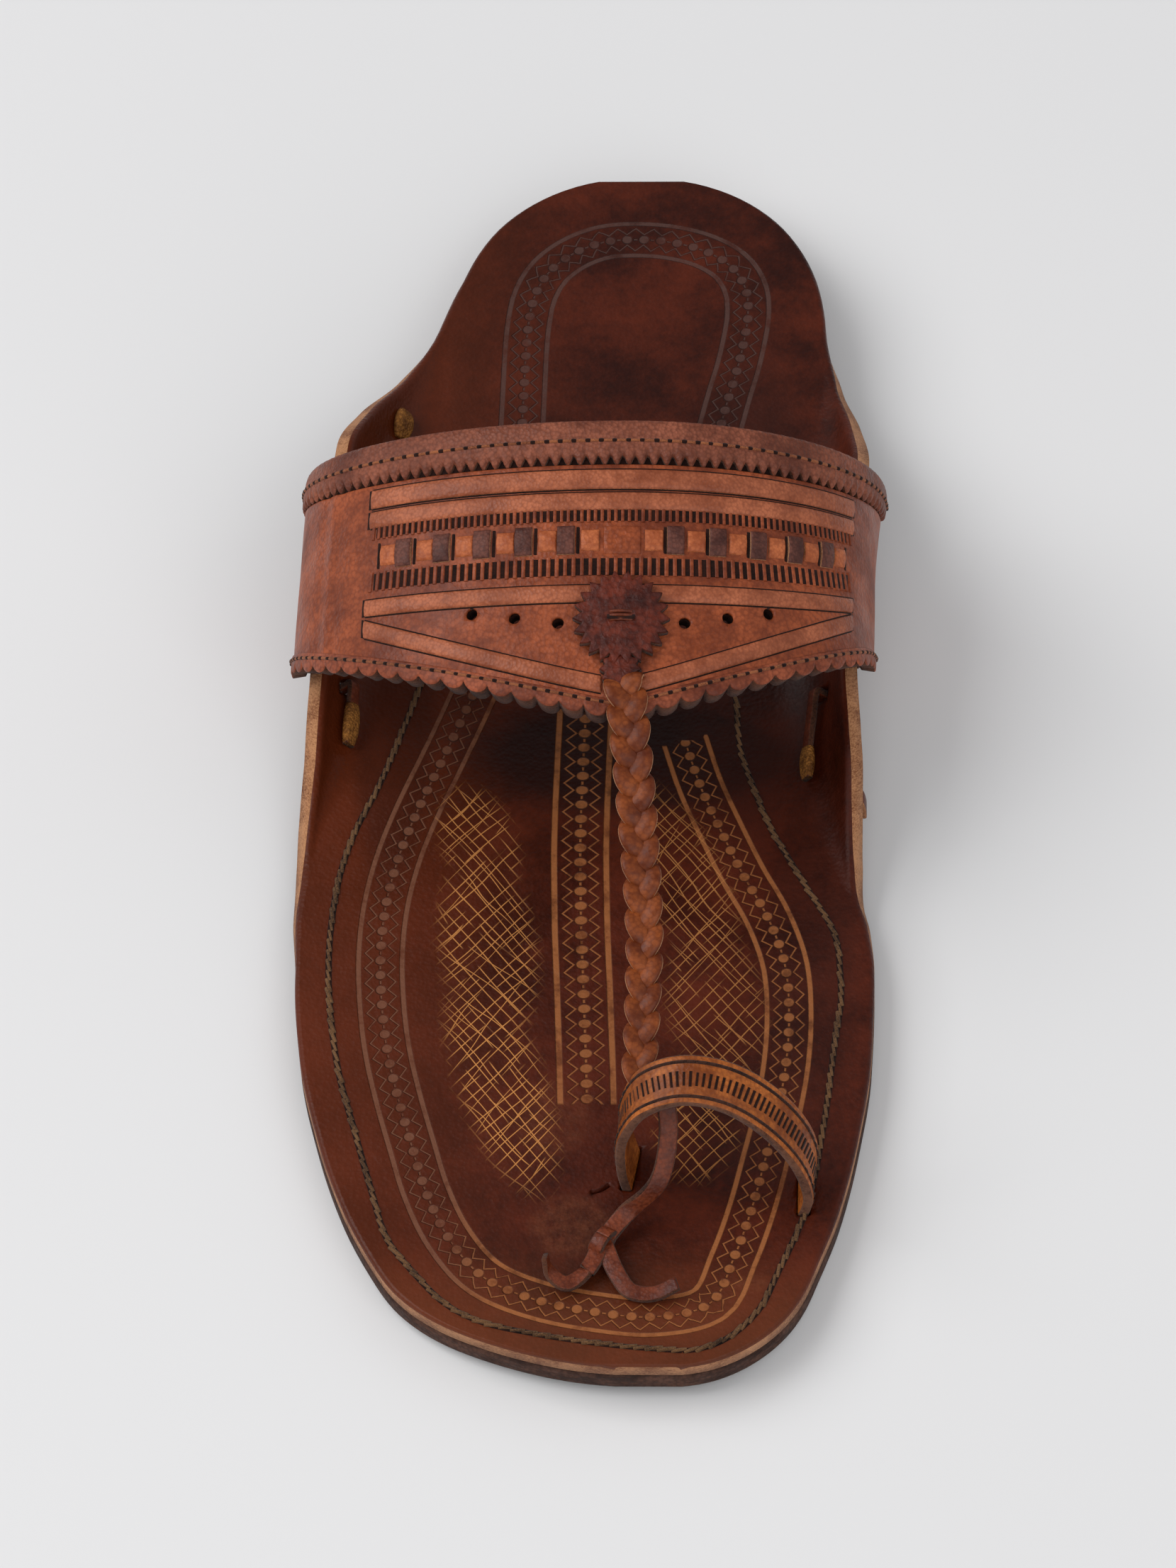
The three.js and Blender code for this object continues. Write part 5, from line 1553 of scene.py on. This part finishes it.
medial_end = smooth_route(ear_spot(-12.0, 1, 0.7, INSOLE_THICK - 0.6) + MEDIAL_END, 20)
dressed(strip("medial_lacing_end", medial_end, rounded_profile(3.2, 1.2, 0.4), (0, 1, 0),
              [thong_leather, cut_edge]))
lacing_section = rounded_profile(2.5, 1.3, 0.4)
worn_section = rounded_profile(3.7, 2.0, 0.9)
for side, name, worn_from in ((-1, "lateral", 0.5), (1, "medial", 0.7)):
    outer, inner, run, lie = lacing_route(side)
    route = smooth_route([outer, inner + (outer - inner) * 0.3, inner, *run], 60)
    made = strip(f"lacing_{name}_thong", route, lacing_section, lie, [thong_leather, dark_edge])
    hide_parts(f"ear_lacing_{name}")
    dressed(made)
    worn = route[int(len(route) * worn_from):]
    plump = np.sin(math.pi * np.linspace(0.2, 0.85, len(worn))) ** 0.5
    worn_end = strip(f"lacing_{name}_worn_end", worn, worn_section, lie, [lacing_leather], plump)
    dressed(worn_end)

# Twine seam round the forefoot of the insole, in its groove; the groove is a thin near-black ribbon of
# painted shade
TWINE_STITCH = (2.3, 3.0, 0.72, 0.2)
seam = smooth_route(INSOLE_SEAM, 420)
dressed(strip("insole_seam_groove_painted_shade", on_bed(seam, 0.02), rounded_profile(1.2, 0.14, 0.06, 2), (1, 0, 0),
              [shade_black]))
repeated("insole_twine_stitches", stitch_tree, [(on_bed(seam, 0.16), np.array([0, 0, 1.0]))], TWINE_STITCH,
         grey_twine, 0.22, 0.0, 0.22)


# Floor, soft light and the camera
def floor():
    material, _, shader, _ = finish_named("pale_floor", 0.9, specular=0.2)
    shader.inputs["Base Color"].default_value = srgb(232, 231, 231)
    bpy.ops.mesh.primitive_plane_add(size=8.0)
    plane = bpy.context.object
    plane.name = "floor"
    plane.data.materials.append(material)


def soft_light(name, place, size, power):
    """Square lamp that faces the sandal."""
    lamp = bpy.data.lights.new(name, "AREA")
    lamp.shape = "SQUARE"
    lamp.size = size
    lamp.energy = power
    made = bpy.data.objects.new(name, lamp)
    bpy.context.scene.collection.objects.link(made)
    made.location = place
    made.rotation_euler = (-Vector(place)).to_track_quat("-Z", "Y").to_euler()


# Each lamp's name, place, size in metres and power in watts
LAMPS = [("window_light", (-1.4, 0.1, 1.5), 1.6, 27), ("front_fill", (0.6, -1.5, 1.4), 2.0, 18),
         ("right_fill", (1.5, 0.3, 1.2), 1.6, 3)]
WORLD_STRENGTH = 0.34
floor()
for lamp_values in LAMPS:
    soft_light(*lamp_values)
world = bpy.data.worlds.new("pale_studio")
world.use_nodes = True
world.node_tree.nodes["Background"].inputs["Color"].default_value = (0.95, 0.97, 1.0, 1.0)
world.node_tree.nodes["Background"].inputs["Strength"].default_value = WORLD_STRENGTH
bpy.context.scene.world = world
bpy.context.scene.view_settings.view_transform = "Standard"

# The photograph is 1659 by 2212 pixels, taken from the toe's side and looking down by CAMERA_PITCH degrees
PHOTO_HEIGHT = 2212
CAMERA_PLACE = np.array([60.0, -889.6, 1223.5])
CAMERA_PITCH = 54.0
PHOTO_FOCAL = 7333.0
AIM_LEFT = 284.5
CLOSER = 1.5
SENSOR = 36.0


def photo_camera():
    pitch = math.radians(CAMERA_PITCH)
    up = Vector((0, math.sin(pitch), math.cos(pitch)))
    ahead = Vector((-AIM_LEFT / PHOTO_FOCAL, math.cos(pitch), -math.sin(pitch))).normalized()
    right = ahead.cross(up).normalized()
    lens = bpy.data.cameras.new("photo_camera")
    lens.sensor_width = SENSOR
    lens.lens = CLOSER * PHOTO_FOCAL * SENSOR / PHOTO_HEIGHT
    lens.clip_end = 20
    made = bpy.data.objects.new("photo_camera", lens)
    bpy.context.scene.collection.objects.link(made)
    turn = Matrix((right, right.cross(ahead), -ahead)).transposed()
    made.matrix_world = Matrix.Translation(Vector(placed(CAMERA_PLACE))) @ turn.to_4x4()
    bpy.context.scene.camera = made


photo_camera()
